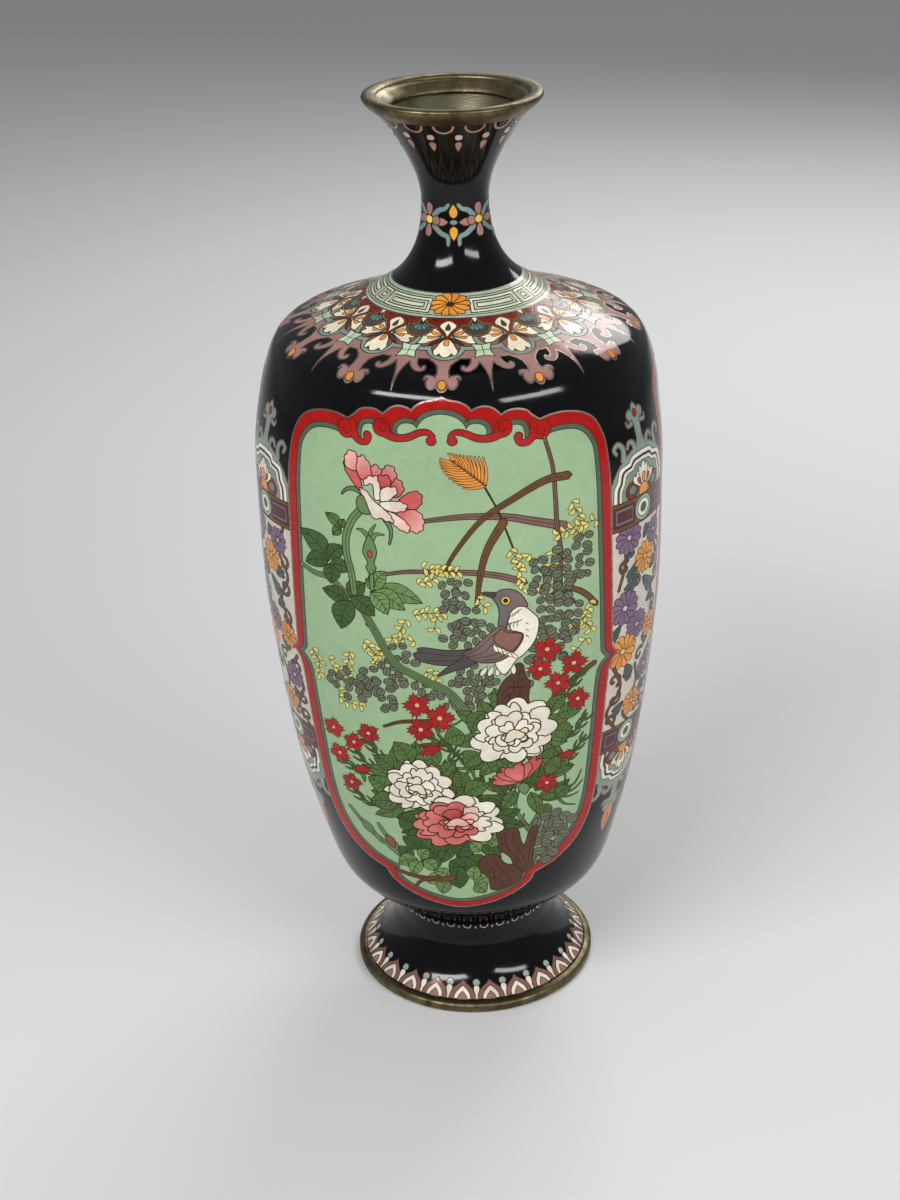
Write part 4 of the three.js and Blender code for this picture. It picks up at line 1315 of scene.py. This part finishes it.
def picture_outline():
    """The inner edge of a panel's frame, round the pale green picture."""
    return both_sides(runs(
        [240.2j, -2.5 + 239.8j, -5 + 238.7j, -6.6 + 237j, -7.2 + 235.8j],
        [-7.2 + 235.8j, -8.2 + 236.9j, -10.5 + 237.2j, -12.3 + 236.5j, -13.2 + 235j, -13 + 233j],
        [-13 + 233j, -16 + 232j, -19.6 + 233.2j],
        [-19.6 + 233.2j, -20.3 + 235.6j, -21.8 + 236j, -23.6 + 235.4j, -24.4 + 233.6j, -24.6 + 231.6j],
        [-24.6 + 231.6j, -27.5 + 230.8j, -32 + 232j, -36 + 232.4j, -40 + 231.9j, -43 + 230.4j,
         -45.4 + 227.3j, -46.4 + 223j, -46.8 + 205j, -47.6 + 180j, -48 + 160j, -48.2 + 157j],
        [-48.2 + 157j, -49 + 155.6j, -50 + 154.5j],
        [-50 + 154.5j, -48 + 152.5j, -46.4 + 148j, -44.7 + 130j, -42.9 + 110j, -41.2 + 99j,
         -38.8 + 91.5j, -35.2 + 85.5j, -30.5 + 80.8j, -25.5 + 77.8j, -20.4 + 75.8j],
        [-20.4 + 75.8j, -20.9 + 73.4j, -19.4 + 70.8j, -16 + 68.4j, -10 + 65.8j, -4 + 64.2j, 63.6j]))


def merged(field, outlines, group, colour, wire, metal=None):
    """Several outlines as one cell, with the wire only round the whole."""
    outlines = [ccw(o) for o in outlines]
    for outline in outlines:
        field.add(offset(outline, wire / 2), metal or field.metal, None)
    for outline in outlines:
        field.add(offset(outline, -wire / 2), group, colour)


def spiral(centre, radius, turns, start, hand, points=14):
    """Points of a spiral from radius inwards, starting at an angle in degrees."""
    t = np.linspace(0, 1, points)
    angle = np.radians(start) + hand * 2 * math.pi * turns * t
    return centre + radius * (1 - 0.8 * t) * np.exp(1j * angle)


def draw_frame(field):
    """The red frame with its shadow line, its scrolls, and the green field inside."""
    field.cell(panel_outline(), "frame", RED, wire=0.5, metal="silver")
    field.cell(offset(ccw(picture_outline()), 1.5), "shadow", SHADOW_GREEN, wire=0.25)
    field.cell(picture_outline(), "field", PALE_GREEN, wire=0.25)
    outer_hook = [-27.4 + 236j, -27 + 232.4j, -25.4 + 230.4j, -23.2 + 230.4j, -22.1 + 232j]
    inner_hook = [-18.4 + 234.2j, -14.5 + 232.6j, -10.5 + 232.7j, -6.6 + 234.4j, -4 + 234.6j,
                  -2.4 + 233.2j]
    outer_eye, inner_eye = -29.7 + 233.4j, -18 + 235.2j
    for side in (1, -1):
        scrolls = [
            disc(2.8) + to_side(outer_eye, side),
            stroke(to_side(outer_hook, side), 2.6, 1.8),
            disc(1.35) + to_side(-22.6 + 232.3j, side),
            disc(2.7) + to_side(inner_eye, side),
            stroke(to_side(inner_hook, side), 2.6, 1.6),
            disc(1.5) + to_side(-3.1 + 232j, side),
        ]
        merged(field, scrolls, "frame", RED, wire=0.3)
        for centre, radius, start in ((outer_eye, 2.1, 60), (inner_eye, 2.0, 100)):
            start = start if side > 0 else 180 - start
            field.line(spiral(to_side(centre, side), radius, 0.85, start, -side), 0.25)


def build_panels():
    """The front panel, and the two side panels with the same garden the other way round."""
    for flip, panels in ((False, (("front", 0),)), (True, (("right", 120), ("left", 240)))):
        field = Field(BODY, "flat")
        draw_frame(field)
        field.flip = flip
        draw_picture(field)
        for name, centre in panels:
            field.centre = math.radians(centre)
            lay(field, name + "_panel")

# ---------------------------------------------------------------- shoulder collar

MAUVE = (160, 120, 112)
DEEP_MAUVE = (132, 92, 84)
SAGE = (132, 150, 138)
FRET_GREEN = (172, 190, 164)
FRET_CREAM = (216, 216, 190)
TEAL = (104, 130, 130)
PALE_TEAL = (150, 172, 160)
SCALE_RED = (126, 34, 28)
GOLD_BROWN = (132, 92, 46)
PURPLE = (124, 98, 128)
LAPPETS = 12
LAPPET_TURN = 360 / LAPPETS
COLLAR_RADIUS = 57.9
RING_OUTER = 28.3
RING_INNER = 20.0


def draw_chrysanthemum(field, at, across, high, petals, colour, eye, group="yellow"):
    """A round blossom of many narrow petals, across by high."""
    squash = high / across
    width = 2 * math.pi * across * 0.74 / petals
    for i in range(petals):
        shape = drop(across, width * 1.25) * turn(360 / petals * (i + 0.5))
        shape = shape.real + 1j * shape.imag * squash
        field.cell(place(shape, at), group, colour, wire=0.28)
    middle = ellipse(across * 0.17, across * 0.17 * squash, 12)
    field.cell(place(middle, at), "cream", eye, wire=0.26)


def lappet_shapes():
    """The mauve body of one lappet with its hooks, pendant and the spike to its right."""
    shapes = [place(disc(5.4, 24), -42.3j)]
    for side in (-1, 1):
        hook = [8.8 - 43.6j, 8.8 - 47j, 7.4 - 49.4j, 6.0 - 49.4j, 5.7 - 48.4j]
        shapes.append(stroke(to_side(hook, side), 2.6, 1.2))
        shapes.append(place(disc(1.7, 14), side * 3.0 - 54.4j))
        barb = [2.6 - 53.4j, 4.4 - 52.6j, 5.2 - 53.4j]
        shapes.append(stroke(to_side(barb, side), 1.8, 0.5))
    shapes.append([-3.6 - 46j, -2.0 - 48.4j, -1.7 - 51j, -2.4 - 54.5j, 2.4 - 54.5j, 1.7 - 51j, 2.0 - 48.4j,
                   3.6 - 46j])
    shapes.append(place(disc(1.8, 14), -54.9j))
    spike = runs([-4.4 - 43.4j, -2.0 - 47j, -0.6 - 51.6j, -56.6j],
                 [-56.6j, 0.6 - 51.6j, 2.0 - 47j, 4.4 - 43.4j])
    shapes.append(place(spike, 0, LAPPET_TURN / 2))
    return shapes


def draw_lappet(field):
    """The fan of petals inside one lappet."""
    sage = [place(disc(5.7, 24), -40.3j)]
    inner = [place(disc(4.2, 20), -40.3j)]
    for side in (-1, 1):
        sage.append(place(disc(5.5, 24), side * 6.0 - 35.9j))
        inner.append(place(disc(4.0, 20), side * 5.9 - 35.7j))
    merged(field, sage, "sage", SAGE, wire=0.34)
    merged(field, inner, "mauve", DEEP_MAUVE, wire=0.3)
    for side in (-1, 1):
        for tip, width in ((9.4 - 36.4j, 4.6), (7.4 - 32.2j, 4.0)):
            base = 1.4 - 35.4j
            reach = tip - base
            base = to_side(base, side)
            angle = math.degrees(np.angle(reach)) if side > 0 else 180 - math.degrees(np.angle(reach))
            field.cell(place(scalloped(abs(reach), width, 2), base, angle), "cream", CREAM, wire=0.32)
            field.cell(place(drop(abs(reach) * 0.55, 1.5), base, angle), "yellow", ORANGE, wire=0.22)
        stamen = place(leaf(5.6, 1.4, 0.5), side * 0.6 - 36.4j, -32 if side > 0 else 212)
        field.cell(stamen, "wood", (76, 52, 36), wire=0.24)
    field.cell(place(scalloped(8.4, 7.4, 3), -36.4j, -90), "cream", CREAM, wire=0.34)
    field.cell(place(drop(3.6, 1.9), -36.2j, -90), "yellow", ORANGE, wire=0.24)
    field.cell(place(disc(1.25, 14), -55.2j), "yellow", ORANGE, wire=0.26)


def draw_kite(field):
    """The lozenge with a drop in it that heads each lappet."""
    outer = smooth([-28.6j, -3.4 - 31j, -1.6 - 34j, -36.8j, 1.6 - 34j, 3.4 - 31j], 4)
    inner = smooth([-29.4j, -2.5 - 31.2j, -1 - 33.6j, -35.6j, 1 - 33.6j, 2.5 - 31.2j], 4)
    field.cell(outer, "red", (150, 40, 30))
    field.cell(inner, "cream", CREAM, wire=0.26)
    field.cell(place(drop(2.8, 1.7), -30.4j, -90), "leaf", (58, 70, 58), wire=0.24)


def draw_scales(field):
    """Two dark red scales beside the head of a lappet."""
    for side in (-1, 1):
        centre = turn(side * LAPPET_TURN / 4) * -28.4j
        field.cell(place(disc(3.5, 22), centre), "wood", GOLD_BROWN)
        field.cell(place(disc(2.6, 20), centre), "red", SCALE_RED, wire=0.26)
        field.cell(place(disc(1.1, 12), centre), "red", (92, 34, 44), wire=0.2)


def draw_between_lappets(field):
    """The fan and the four-square lozenge in the gap between two lappets."""
    field.cell(place(disc(4.3, 26), -31.8j), "wood", GOLD_BROWN)
    field.cell(place(disc(3.5, 24), -31.8j), "sage", (72, 72, 70), wire=0.26)
    for i in range(5):
        field.cell(place(drop(3.1, 1.75), -30.4j, -90 + 34 * (i - 2)), "sage", TEAL, wire=0.26)
    lozenge = runs([-3.0 - 39j, -2.2 - 42j, -3.0 - 45j], [-3.0 - 45j, -44.4j, 3.0 - 45j],
                   [3.0 - 45j, 2.2 - 42j, 3.0 - 39j], [3.0 - 39j, -39.6j, -3.0 - 39j])
    field.cell(lozenge, "cream", (196, 216, 184), wire=0.34)
    for points in ([-39.8j, -44.2j], [-2.2 - 42j, 2.2 - 42j]):
        field.line(points, 0.24, per_edge=1)


def arc_band(low, high, first, last):
    """A piece of ring between two radii and two angles from the front, in plan."""
    angles = np.linspace(first, last, max(3, int(abs(last - first) / 3)))
    outer = np.array([-1j * high * turn(a) for a in angles])
    inner = np.array([-1j * low * turn(a) for a in angles[::-1]])
    return np.concatenate([outer, inner])


def draw_fret(field):
    """The pale ring round the neck, with nested key bars between its three blossoms."""
    field.cell(disc(RING_OUTER, 120), "fret", FRET_GREEN, wire=0.4, metal="silver")
    for radius in (27.3, 21.2):
        field.cell(disc(radius, 120), "fret", FRET_GREEN, wire=0.26)
    rows = ((21.9, 26.6, 0, FRET_CREAM), (22.8, 25.7, 2.6, FRET_GREEN), (23.6, 24.9, 5.2, FRET_CREAM))
    for centre in (0, 120, 240):
        for low, high, shrink, colour in rows:
            for side in (-1, 1):
                bar = arc_band(low, high, centre + side * (14 + shrink), centre + side * (52 - shrink))
                field.cell(bar, "fret", colour, wire=0.34)
            reach = 6.4 - shrink * 0.86
            key = arc_band(low, high, centre + 60 - reach, centre + 60 + reach)
            field.cell(key, "fret", colour, wire=0.34)
    for centre in (0, 120, 240):
        field.face(centre)
        draw_chrysanthemum(field, -23.6j, 6.2, 3.9, 12, ORANGE, (64, 40, 26))
    field.face(0)


def build_collar():
    """The collar of twelve lappets on the shoulder, and the fret ring round the neck."""
    field = Field(BODY, "plan", grid=3.0, ring_base=300.0)
    field.add(disc(COLLAR_RADIUS, 120), "", None)
    turns = [LAPPET_TURN * i for i in range(LAPPETS)]
    wire = 0.5
    for draw in ("wire", "enamel"):
        grow = wire / 2 if draw == "wire" else -wire / 2
        group, colour = ("silver", None) if draw == "wire" else ("mauve", MAUVE)
        field.add(disc(45.4 + grow, 120), group, colour)
        for degrees in turns:
            field.face(degrees)
            for shape in lappet_shapes():
                field.add(offset(ccw(shape), grow), group, colour)
    for degrees in turns:
        field.face(degrees)
        draw_lappet(field)
    for degrees in turns:
        field.face(degrees + LAPPET_TURN / 2)
        draw_between_lappets(field)
    for degrees in turns:
        field.face(degrees)
        draw_scales(field)
    for degrees in turns:
        field.face(degrees)
        draw_kite(field)
        field.face(degrees + LAPPET_TURN / 2)
        field.cell(place(drop(3.4, 2.0), -30.4j, 90), "cream", CREAM, wire=0.26)
    field.face(0)
    draw_fret(field)
    field.add(disc(RING_INNER + 0.25, 120), "silver", None)
    field.add(disc(RING_INNER - 0.05, 120), "", None)
    lay(field, "collar")

# ---------------------------------------------------------------- corner strips

STRIP_LOW, STRIP_HIGH = 120.5, 200.5
STRIP_TUCK = 0.6
STRIP_WHITE = (216, 206, 190)
SCROLL_BROWN = (94, 66, 54)
LILAC = (200, 180, 200)
APRICOT = (240, 190, 110)
INSET_BROWN = (84, 40, 36)


def strip_half_width(s):
    """Half the room left between two panel frames at a height up the meridian."""
    edge = panel_outline()
    edge = edge[(edge.real < -40) & (edge.imag > 89) & (edge.imag < 233)]
    edge = edge[np.argsort(edge.imag)]
    frame_edge = -np.interp(s, edge.imag, edge.real)
    return math.radians(60) * BODY.at(s)[1] - frame_edge + STRIP_TUCK


def strip_band(low, high):
    """The whole width of the strip between two heights."""
    s = np.linspace(low, high, max(2, int((high - low) / 3)))
    half = strip_half_width(s)
    return np.concatenate([half + 1j * s, -half[::-1] + 1j * s[::-1]])


def draw_crest(field, base, up):
    """The crest over one end of a strip: a banded dome, hooks, and a finial. up is 1 or -1."""
    def at(points):
        points = np.asarray(points, complex)
        return points.real + 1j * (base + up * points.imag)
    half = float(strip_half_width(base)) - STRIP_TUCK
    border = [at(both_sides(runs([15.6j, -4 + 15.4j, -8 + 13.4j, -11.4 + 10.4j, -half + 6j],
                                 [-half + 6j, -half - 0.4 + 3j, -half - 0.4 - 1j])))]
    for side in (-1, 1):
        for hook in ([8.6 + 13j, 8.2 + 16.4j, 10 + 18.4j, 11.8 + 17.2j, 11 + 15.6j],
                     [3 + 14j, 3.6 + 17j, 5.6 + 17.6j, 6.4 + 16j]):
            border.append(at(stroke(to_side(hook, side), 2.0, 1.0)))
        border.append(at(place(disc(1.7, 14), side * 2.6 + 25j)))
        barb = [2.2 + 22.6j, 4.4 + 22.2j, 5 + 23.6j]
        border.append(at(stroke(to_side(barb, side), 1.5, 0.6)))
    border.append(at([-3 + 14j, -1.5 + 18j, -1.6 + 22j, -2.4 + 25j, -1 + 27.6j, 28.4j, 1 + 27.6j, 2.4 + 25j,
                      1.6 + 22j, 1.5 + 18j, 3 + 14j]))
    merged(field, border, "sage", SAGE, wire=0.45, metal="silver")
    field.cell(at(place(disc(1.2, 12), 25.2j)), "red", (150, 44, 36), wire=0.26)
    for shrink, group, colour in ((1.6, "cream", WHITE), (3.0, "sage", (60, 60, 60)), (3.6, "cream", WHITE),
                                  (4.8, "sage", SAGE)):
        wide, high = half - shrink + 0.6, 15.6 - shrink
        arch = both_sides(runs([1j * high, -wide * 0.36 + 0.96j * high, -wide * 0.5 + 0.84j * high],
                               [-wide * 0.5 + 0.84j * high, -wide * 0.8 + 0.76j * high,
                                -wide * 0.9 + 0.5j * high],
                               [-wide * 0.9 + 0.5j * high, -wide + 0.32j * high, -wide - 1j]))
        field.cell(at(arch), group, colour, wire=0.26)
    for side in (-1, 1):
        field.cell(at(place(disc(2.9, 20), side * 5.4 + 2.8j)), "red", SCALE_RED)
        field.cell(at(place(disc(1.6, 14), side * 5.4 + 2.8j)), "sage", TEAL, wire=0.24)
        lean = 56 if side > 0 else 124
        field.cell(at(place(scalloped(6.4, 4.4, 2), side * 0.6 + 2.4j, lean)), "cream", CREAM)
        field.cell(at(place(drop(3.6, 1.6), side * 1.0 + 3j, lean)), "red", (170, 60, 40), wire=0.24)
    field.cell(at(place(scalloped(9, 5, 3), 1.6j, 90)), "cream", WHITE)
    field.cell(at(place(drop(4, 2.2), 3j, 90)), "yellow", ORANGE, wire=0.26)
    field.cell(at(place(disc(2.4, 18), 1.4j)), "yellow", ORANGE, wire=0.28)


def draw_bar(field, low, high):
    """A brown bar with two purple key insets and a pale eye between them."""
    field.cell(strip_band(low, high), "wood", (112, 74, 44), wire=0.4)
    middle = (low + high) / 2
    reach = float(strip_half_width(middle)) - STRIP_TUCK
    tall = (high - low) / 2
    for side in (-1, 1):
        insets = ((1.1, "wood", INSET_BROWN), (1.9, "bird", PURPLE), (2.9, "wood", INSET_BROWN))
        for inset, group, colour in insets:
            near, far = 3.8 + inset * 0.6, reach - inset * 0.8
            room = 1j * (tall - inset)
            box = [side * near - room, side * far - room, side * far + room, side * near + room]
            field.cell(np.array(box) + 1j * middle, group, colour, wire=0.24)
    field.cell(place(disc(4.2, 26), 1j * middle), "sage", PALE_TEAL)
    field.cell(place(disc(2.9, 20), 1j * middle), "cream", WHITE, wire=0.26)
    field.cell(place(disc(1.5, 14), 1j * middle), "leaf", DARK_LEAF, wire=0.24)


def draw_strip_flowers(field):
    """Chrysanthemums among teal leaves and brown scrolls on white."""
    field.cell(strip_band(STRIP_LOW, STRIP_HIGH), "cream", STRIP_WHITE, wire=0.3)
    curls = [
        (8 + 191j, 2.4, 200, 1), (9 + 183.6j, 2.3, 90, -1), (-8.4 + 183j, 2.2, 60, 1),
        (8.6 + 175j, 2.4, 250, 1), (-3 + 176.6j, 2.0, 120, -1), (7.6 + 164j, 2.5, 80, -1),
        (9 + 156.4j, 2.0, 230, 1), (2 + 148.6j, 2.3, 40, 1), (8.6 + 146j, 2.6, 200, -1),
        (-9.4 + 143.6j, 2.4, 300, 1), (-3.4 + 142.6j, 2.1, 150, -1), (4.4 + 139.4j, 2.2, 20, 1),
        (-8.6 + 136.4j, 2.4, 60, -1), (9 + 135j, 2.2, 160, 1), (-9.4 + 128.6j, 2.1, 320, 1),
        (8.8 + 128.2j, 2.4, 220, -1), (4 + 128j, 1.8, 60, 1),
    ]
    for at, radius, start, hand in curls:
        curl = spiral(at, radius * 1.15, 0.9, start, hand, 9)
        field.cell(stroke(curl, 1.25, 1.1, 3), "wood", SCROLL_BROWN, wire=0.24)
    stems = [
        [-10 + 196j, -8 + 186j, -10.6 + 176j], [10 + 196j, 7 + 187j, 10.6 + 179j, 6 + 170j, 10 + 160j],
        [-11 + 150j, -6.4 + 140j, -11 + 132j, -6 + 124j],
        [10 + 151j, 5 + 143j, 10.4 + 140j, 6 + 131j, 10.6 + 124j],
        [0 + 146j, 1.6 + 138j, -3.6 + 130j, 0.6 + 124j],
    ]
    for points in stems:
        field.cell(stroke(points, 1.3, 1.1), "wood", SCROLL_BROWN, wire=0.24)
    leaves = [
        (-2 + 184j, -6 + 179j, 4.4), (-2 + 178j, -7 + 174.6j, 4.4), (0 + 177j, 5 + 172j, 4.6),
        (-9 + 163.6j, -12 + 159.8j, 4), (-4 + 186.6j, -7.4 + 187.6j, 4.2), (4 + 178j, 8 + 180j, 4),
        (-5 + 148j, -3 + 143.6j, 4.6), (2 + 155j, 6 + 152.6j, 4.4), (-4 + 134j, -7.4 + 131j, 4.2),
        (3 + 133.4j, 6.6 + 136j, 4.2), (3 + 167j, 6.6 + 168.6j, 4.2), (0 + 190j, 2.6 + 193j, 4),
    ]
    for base, tip, width in leaves:
        shape = scalloped(abs(tip - base) * 1.25, width, 3)
        heading = math.degrees(np.angle(tip - base))
        field.cell(place(shape, base, heading), "leaf", (62, 84, 80), wire=0.28)
        field.line([base, tip], 0.24, per_edge=1)
    flowers = [
        (-6.6 + 192.6j, 5.6, PURPLE, LILAC), (1.4 + 183.4j, 5.4, ORANGE, APRICOT),
        (6.6 + 190.4j, 4.4, PURPLE, LILAC), (-7.6 + 169j, 6.0, PURPLE, LILAC),
        (-1.4 + 161j, 5.2, PURPLE, (190, 170, 190)), (6.8 + 157.4j, 4.6, ORANGE, APRICOT),
        (-7 + 153.4j, 6.2, ORANGE, (244, 200, 130)), (6.4 + 142.6j, 4.6, PURPLE, LILAC),
        (0.6 + 131.8j, 4.8, ORANGE, APRICOT),
    ]
    for at, radius, colour, eye in flowers:
        group = "bird" if colour == PURPLE else "yellow"
        draw_chrysanthemum(field, at, radius, radius, 12, colour, eye, group)


def build_strips():
    """The strip at each of the three corners, from its upper crest to the bud under the lower."""
    field = Field(BODY, "flat", 60)
    field.add([-20 + 60j, 20 + 60j, 20 + 240j, -20 + 240j], "", None)
    draw_crest(field, 205.0, 1)
    draw_crest(field, 116.0, -1)
    draw_strip_flowers(field)
    draw_bar(field, 196.0, 205.0)
    draw_bar(field, 116.0, 125.0)
    field.cell(place(leaf(13, 5.4, 0.45), 92j, -90), "yellow", (220, 130, 84), wire=0.4, metal="silver")
    for side in (-1, 1):
        field.line([86.6j, side * 0.9 + 84j, side * 0.8 + 81.4j], 0.26, per_edge=4)
    for name, centre in (("right_corner", 60), ("back_corner", 180), ("left_corner", 300)):
        field.centre = math.radians(centre)
        lay(field, name, lift=0.02)

# ---------------------------------------------------------------- neck and foot


NECK_TEAL = (122, 146, 144)
NECK_MAUVE = (168, 122, 112)


def build_neck_bands():
    """The chain of florets round the neck and the beads under the lip."""
    field = Field(NECK, "band", grid=3.0, ring_base=363.0)
    field.add_ring(NECK.first + 0.5, "", None)
    turned = 2
    for quarter in range(4):
        field.face(turned + 90 * quarter)
        for side in (-1, 1):
            rising = [1.4 + 315.9j, 2.6 + 314.6j, 4.6 + 313.9j, 6.4 + 312j]
            falling = [1.7 + 303.8j, 1.9 + 306.2j, 4.0 + 307.2j, 6.4 + 309.2j]
            for points in (rising, falling):
                ribbon = stroke(to_side(points, side), 1.2, 2.0)
                field.cell(ribbon, "sage", NECK_TEAL, wire=0.26)
            sideways = place(leaf(4.9, 2.5, 0.5), side * 1.5 + 310.5j, 0 if side > 0 else 180)
            field.cell(sideways, "mauve", NECK_MAUVE, wire=0.3)
        field.cell(place(ellipse(1.2, 0.8), 310.5j), "cream", NECK_TEAL, wire=0.26)
        for base, angle in ((311.6j, 90), (309.4j, -90)):
            field.cell(place(leaf(4.4, 2.7, 0.4), base, angle), "yellow", (236, 170, 62), wire=0.3)
        field.face(turned + 90 * quarter + 45)
        for angle, length in ((90, 5.2), (-90, 5.2), (0, 4), (180, 4)):
            field.cell(place(drop(length, 3.2), 310.8j, angle), "mauve", NECK_MAUVE, wire=0.3)
        field.cell(place(ellipse(1.5, 1.3), 310.8j), "yellow", (238, 206, 96), wire=0.3)
    beads = 15
    first_bead = 10
    for i in range(beads):
        field.face(first_bead + 360 / beads * i)
        field.cell(place(disc(1.25, 16), 340.4j), "cream", (210, 180, 164), wire=0.28)
        field.cell(place(drop(4.2, 2.5), 334.4j, 90), "mauve", (170, 130, 116), wire=0.28)
        field.face(first_bead + 360 / beads * (i + 0.5))
        loop = 2.9 * np.exp(1j * np.radians(np.linspace(160, 380, 9)))
        ribbon = stroke(loop.real + 1j * (loop.imag + 345.2), 0.9, 0.9, 3)
        field.cell(ribbon, "mauve", (176, 136, 116), wire=0.26)
    lay(field, "neck")


def build_foot_bands():
    """The ring of upright petals on the flare of the foot, and the small arches above its stem."""
    field = Field(FOOT, "band", grid=3.0, ring_base=45.0)
    low = FOOT.first + 0.1
    field.add_ring(low, "", None)
    petals = 24
    step = 360 / petals
    turned = -2
    for i in range(petals):
        field.face(step * i + step / 2 + turned)
        field.cell(place(disc(1.25, 16), 11.2j), "sage", PALE_TEAL, wire=0.28)
    for i in range(petals):
        field.face(step * i + turned)
        back_petal = runs([12.2j, -1.2 + 10.8j, -3.2 + 9.2j, -4.3 + 7.2j, -4.9 + 1j * low])
        field.cell(both_sides(back_petal), "mauve", DEEP_MAUVE, wire=0.3)
    for i in range(petals):
        field.face(step * i + turned)
        petal = runs([10.2j, -1.5 + 8.8j, -2.6 + 7.2j, -3.0 + 1j * low])
        field.cell(both_sides(petal), "cream", WHITE, wire=0.28)
        heart = runs([8.2j, -0.9 + 7.2j, -1.5 + 6.2j, -1.7 + 1j * low])
        field.cell(both_sides(heart), "mauve", (158, 116, 108), wire=0.26)
        field.face(step * i + step / 2 + turned)
        stem = runs([10.4j, -0.9 + 9.8j, -1.0 + 8.6j, -0.5 + 7j, -0.35 + 1j * low])
        field.cell(both_sides(stem), "cream", WHITE, wire=0.26)
    arches = 30
    arch_colour = (186, 170, 158)
    top = FOOT.last - 2.6
    for i in range(arches):
        field.face(360 / arches * i)
        arch = 1.3 * np.exp(1j * np.radians(np.linspace(170, 370, 7)))
        ribbon = stroke(arch.real + 1j * (arch.imag + top), 0.55, 0.55, 3)
        field.cell(ribbon, "mauve", arch_colour, wire=0.2)
        field.face(360 / arches * (i + 0.5))
        field.cell(place(leaf(1.6, 0.7, 0.5), 1j * (top - 0.2), -90), "mauve", arch_colour, wire=0.2)
    lay(field, "foot")

# ---------------------------------------------------------------- everything is put together


METALS = {"bronze": dark_wire, "wires": dark_wire, "silver": silver_wire}
SLOTS = {
    "red_enamel": ("frame", "red"),
    "green_enamel": ("field", "shadow", "leaf", "clover", "sage"),
    "mauve_enamel": ("bird", "mauve", "wood"),
}
STANDS_FOR = {
    "collar_mauve": "collar_enamel",
    "collar_fret": "fret_ring_enamel",
    "foot_mauve": "foot_petal_band",
    "right_corner_cream": "corner_strip_front_right",
    "back_corner_cream": "corner_strip_back",
    "left_corner_cream": "corner_strip_front_left",
}
for panel in ("front", "right", "left"):
    STANDS_FOR[panel + "_panel_frame"] = "panel_frame_" + panel
    STANDS_FOR[panel + "_panel_field"] = "panel_enamel_" + panel


def finish_of(group):
    """The material and slot of a group of cells or wires."""
    if group in METALS:
        return METALS[group], "brass"
    slots = [slot for slot, groups in SLOTS.items() if group in groups]
    material = field_enamel if group == "field" else cell_enamel
    return material, slots[0] if slots else "white_enamel"


def finish_parts():
    """Makes the pieces from the plates that the fields laid down."""
    for name, plates in sorted(parts.items()):
        group = name.rsplit("_", 1)[1]
        piece = make_piece(name, plates, *finish_of(group))
        if name in STANDS_FOR:
            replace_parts(piece, STANDS_FOR[name])


def add_camera():
    """Above the shoulder and a little to the right of the front panel, as a person looks at it."""
    distance, height = 607 * MM * SCALE, 437 * MM * SCALE
    azimuth, pitch, yaw, roll = (math.radians(a) for a in (5.5, 26.26, -0.5, 1.78))
    eye = Vector((0, -distance, height))
    forward = Vector((math.sin(yaw) * math.cos(pitch), math.cos(yaw) * math.cos(pitch), -math.sin(pitch)))
    right = Vector((math.cos(yaw), -math.sin(yaw), 0))
    up = right.cross(forward)
    across = right * math.cos(roll) - up * math.sin(roll)
    rise = right * math.sin(roll) + up * math.cos(roll)
    basis = Matrix((across, rise, -forward)).transposed().to_4x4()
    around = Matrix.Rotation(azimuth, 4, "Z")
    camera = bpy.data.objects.new("camera", bpy.data.cameras.new("camera"))
    camera.data.lens = 61.35
    camera.data.clip_start = 0.01
    axis = Matrix.Translation((AXIS_X, AXIS_Y, 0))
    camera.matrix_world = axis @ around @ Matrix.Translation(eye) @ basis
    bpy.context.scene.collection.objects.link(camera)
    bpy.context.scene.camera = camera


def add_light(name, source, aim, width, height, power):
    """A rectangular lamp from a source in metres, turned to what it lights."""
    data = bpy.data.lights.new(name, "AREA")
    data.shape = "RECTANGLE"
    data.size, data.size_y = width, height
    data.energy = power
    light = bpy.data.objects.new(name, data)
    light.location = source
    light.rotation_euler = (Vector(aim) - Vector(source)).to_track_quat("-Z", "Y").to_euler()
    bpy.context.scene.collection.objects.link(light)


def add_studio():
    """Soft daylight all round, with three lamps that give the long highlights."""
    world = bpy.data.worlds.new("studio")
    world.use_nodes = True
    daylight = world.node_tree.nodes["Background"]
    daylight.inputs["Color"].default_value = (0.80, 0.82, 0.85, 1)
    daylight.inputs["Strength"].default_value = 0.29
    bpy.context.scene.world = world
    middle = (AXIS_X, AXIS_Y, 0.16)
    add_light("key", (-0.45, -0.80, 0.95), middle, 0.75, 0.16, 8.6)
    add_light("fill", (0.75, -0.65, 0.75), middle, 0.70, 0.14, 5.2)
    add_light("back", (0.3, 0.9, 0.8), middle, 0.7, 0.5, 6.0)
    bpy.context.scene.view_settings.view_transform = "Standard"


def add_floor():
    """A plain pale floor."""
    material, _, _, shader = new_material("pale_floor")
    shader.inputs["Base Color"].default_value = (0.72, 0.72, 0.71, 1)
    shader.inputs["Roughness"].default_value = 0.9
    mesh = bpy.data.meshes.new("floor")
    reach = 6.0
    drop_below = 0.2 * MM
    corners = [(-reach, -reach), (reach, -reach), (reach, reach), (-reach, reach)]
    mesh.from_pydata([(x, y, -drop_below) for x, y in corners], [], [(0, 1, 2, 3)])
    mesh.materials.append(material)
    floor = bpy.data.objects.new("floor", mesh)
    bpy.context.scene.collection.objects.link(floor)


add_camera()
add_studio()
add_floor()
build_plain_layers()
build_base()
build_mounts()
build_panels()
build_strips()
build_collar()
build_neck_bands()
build_foot_bands()
finish_parts()
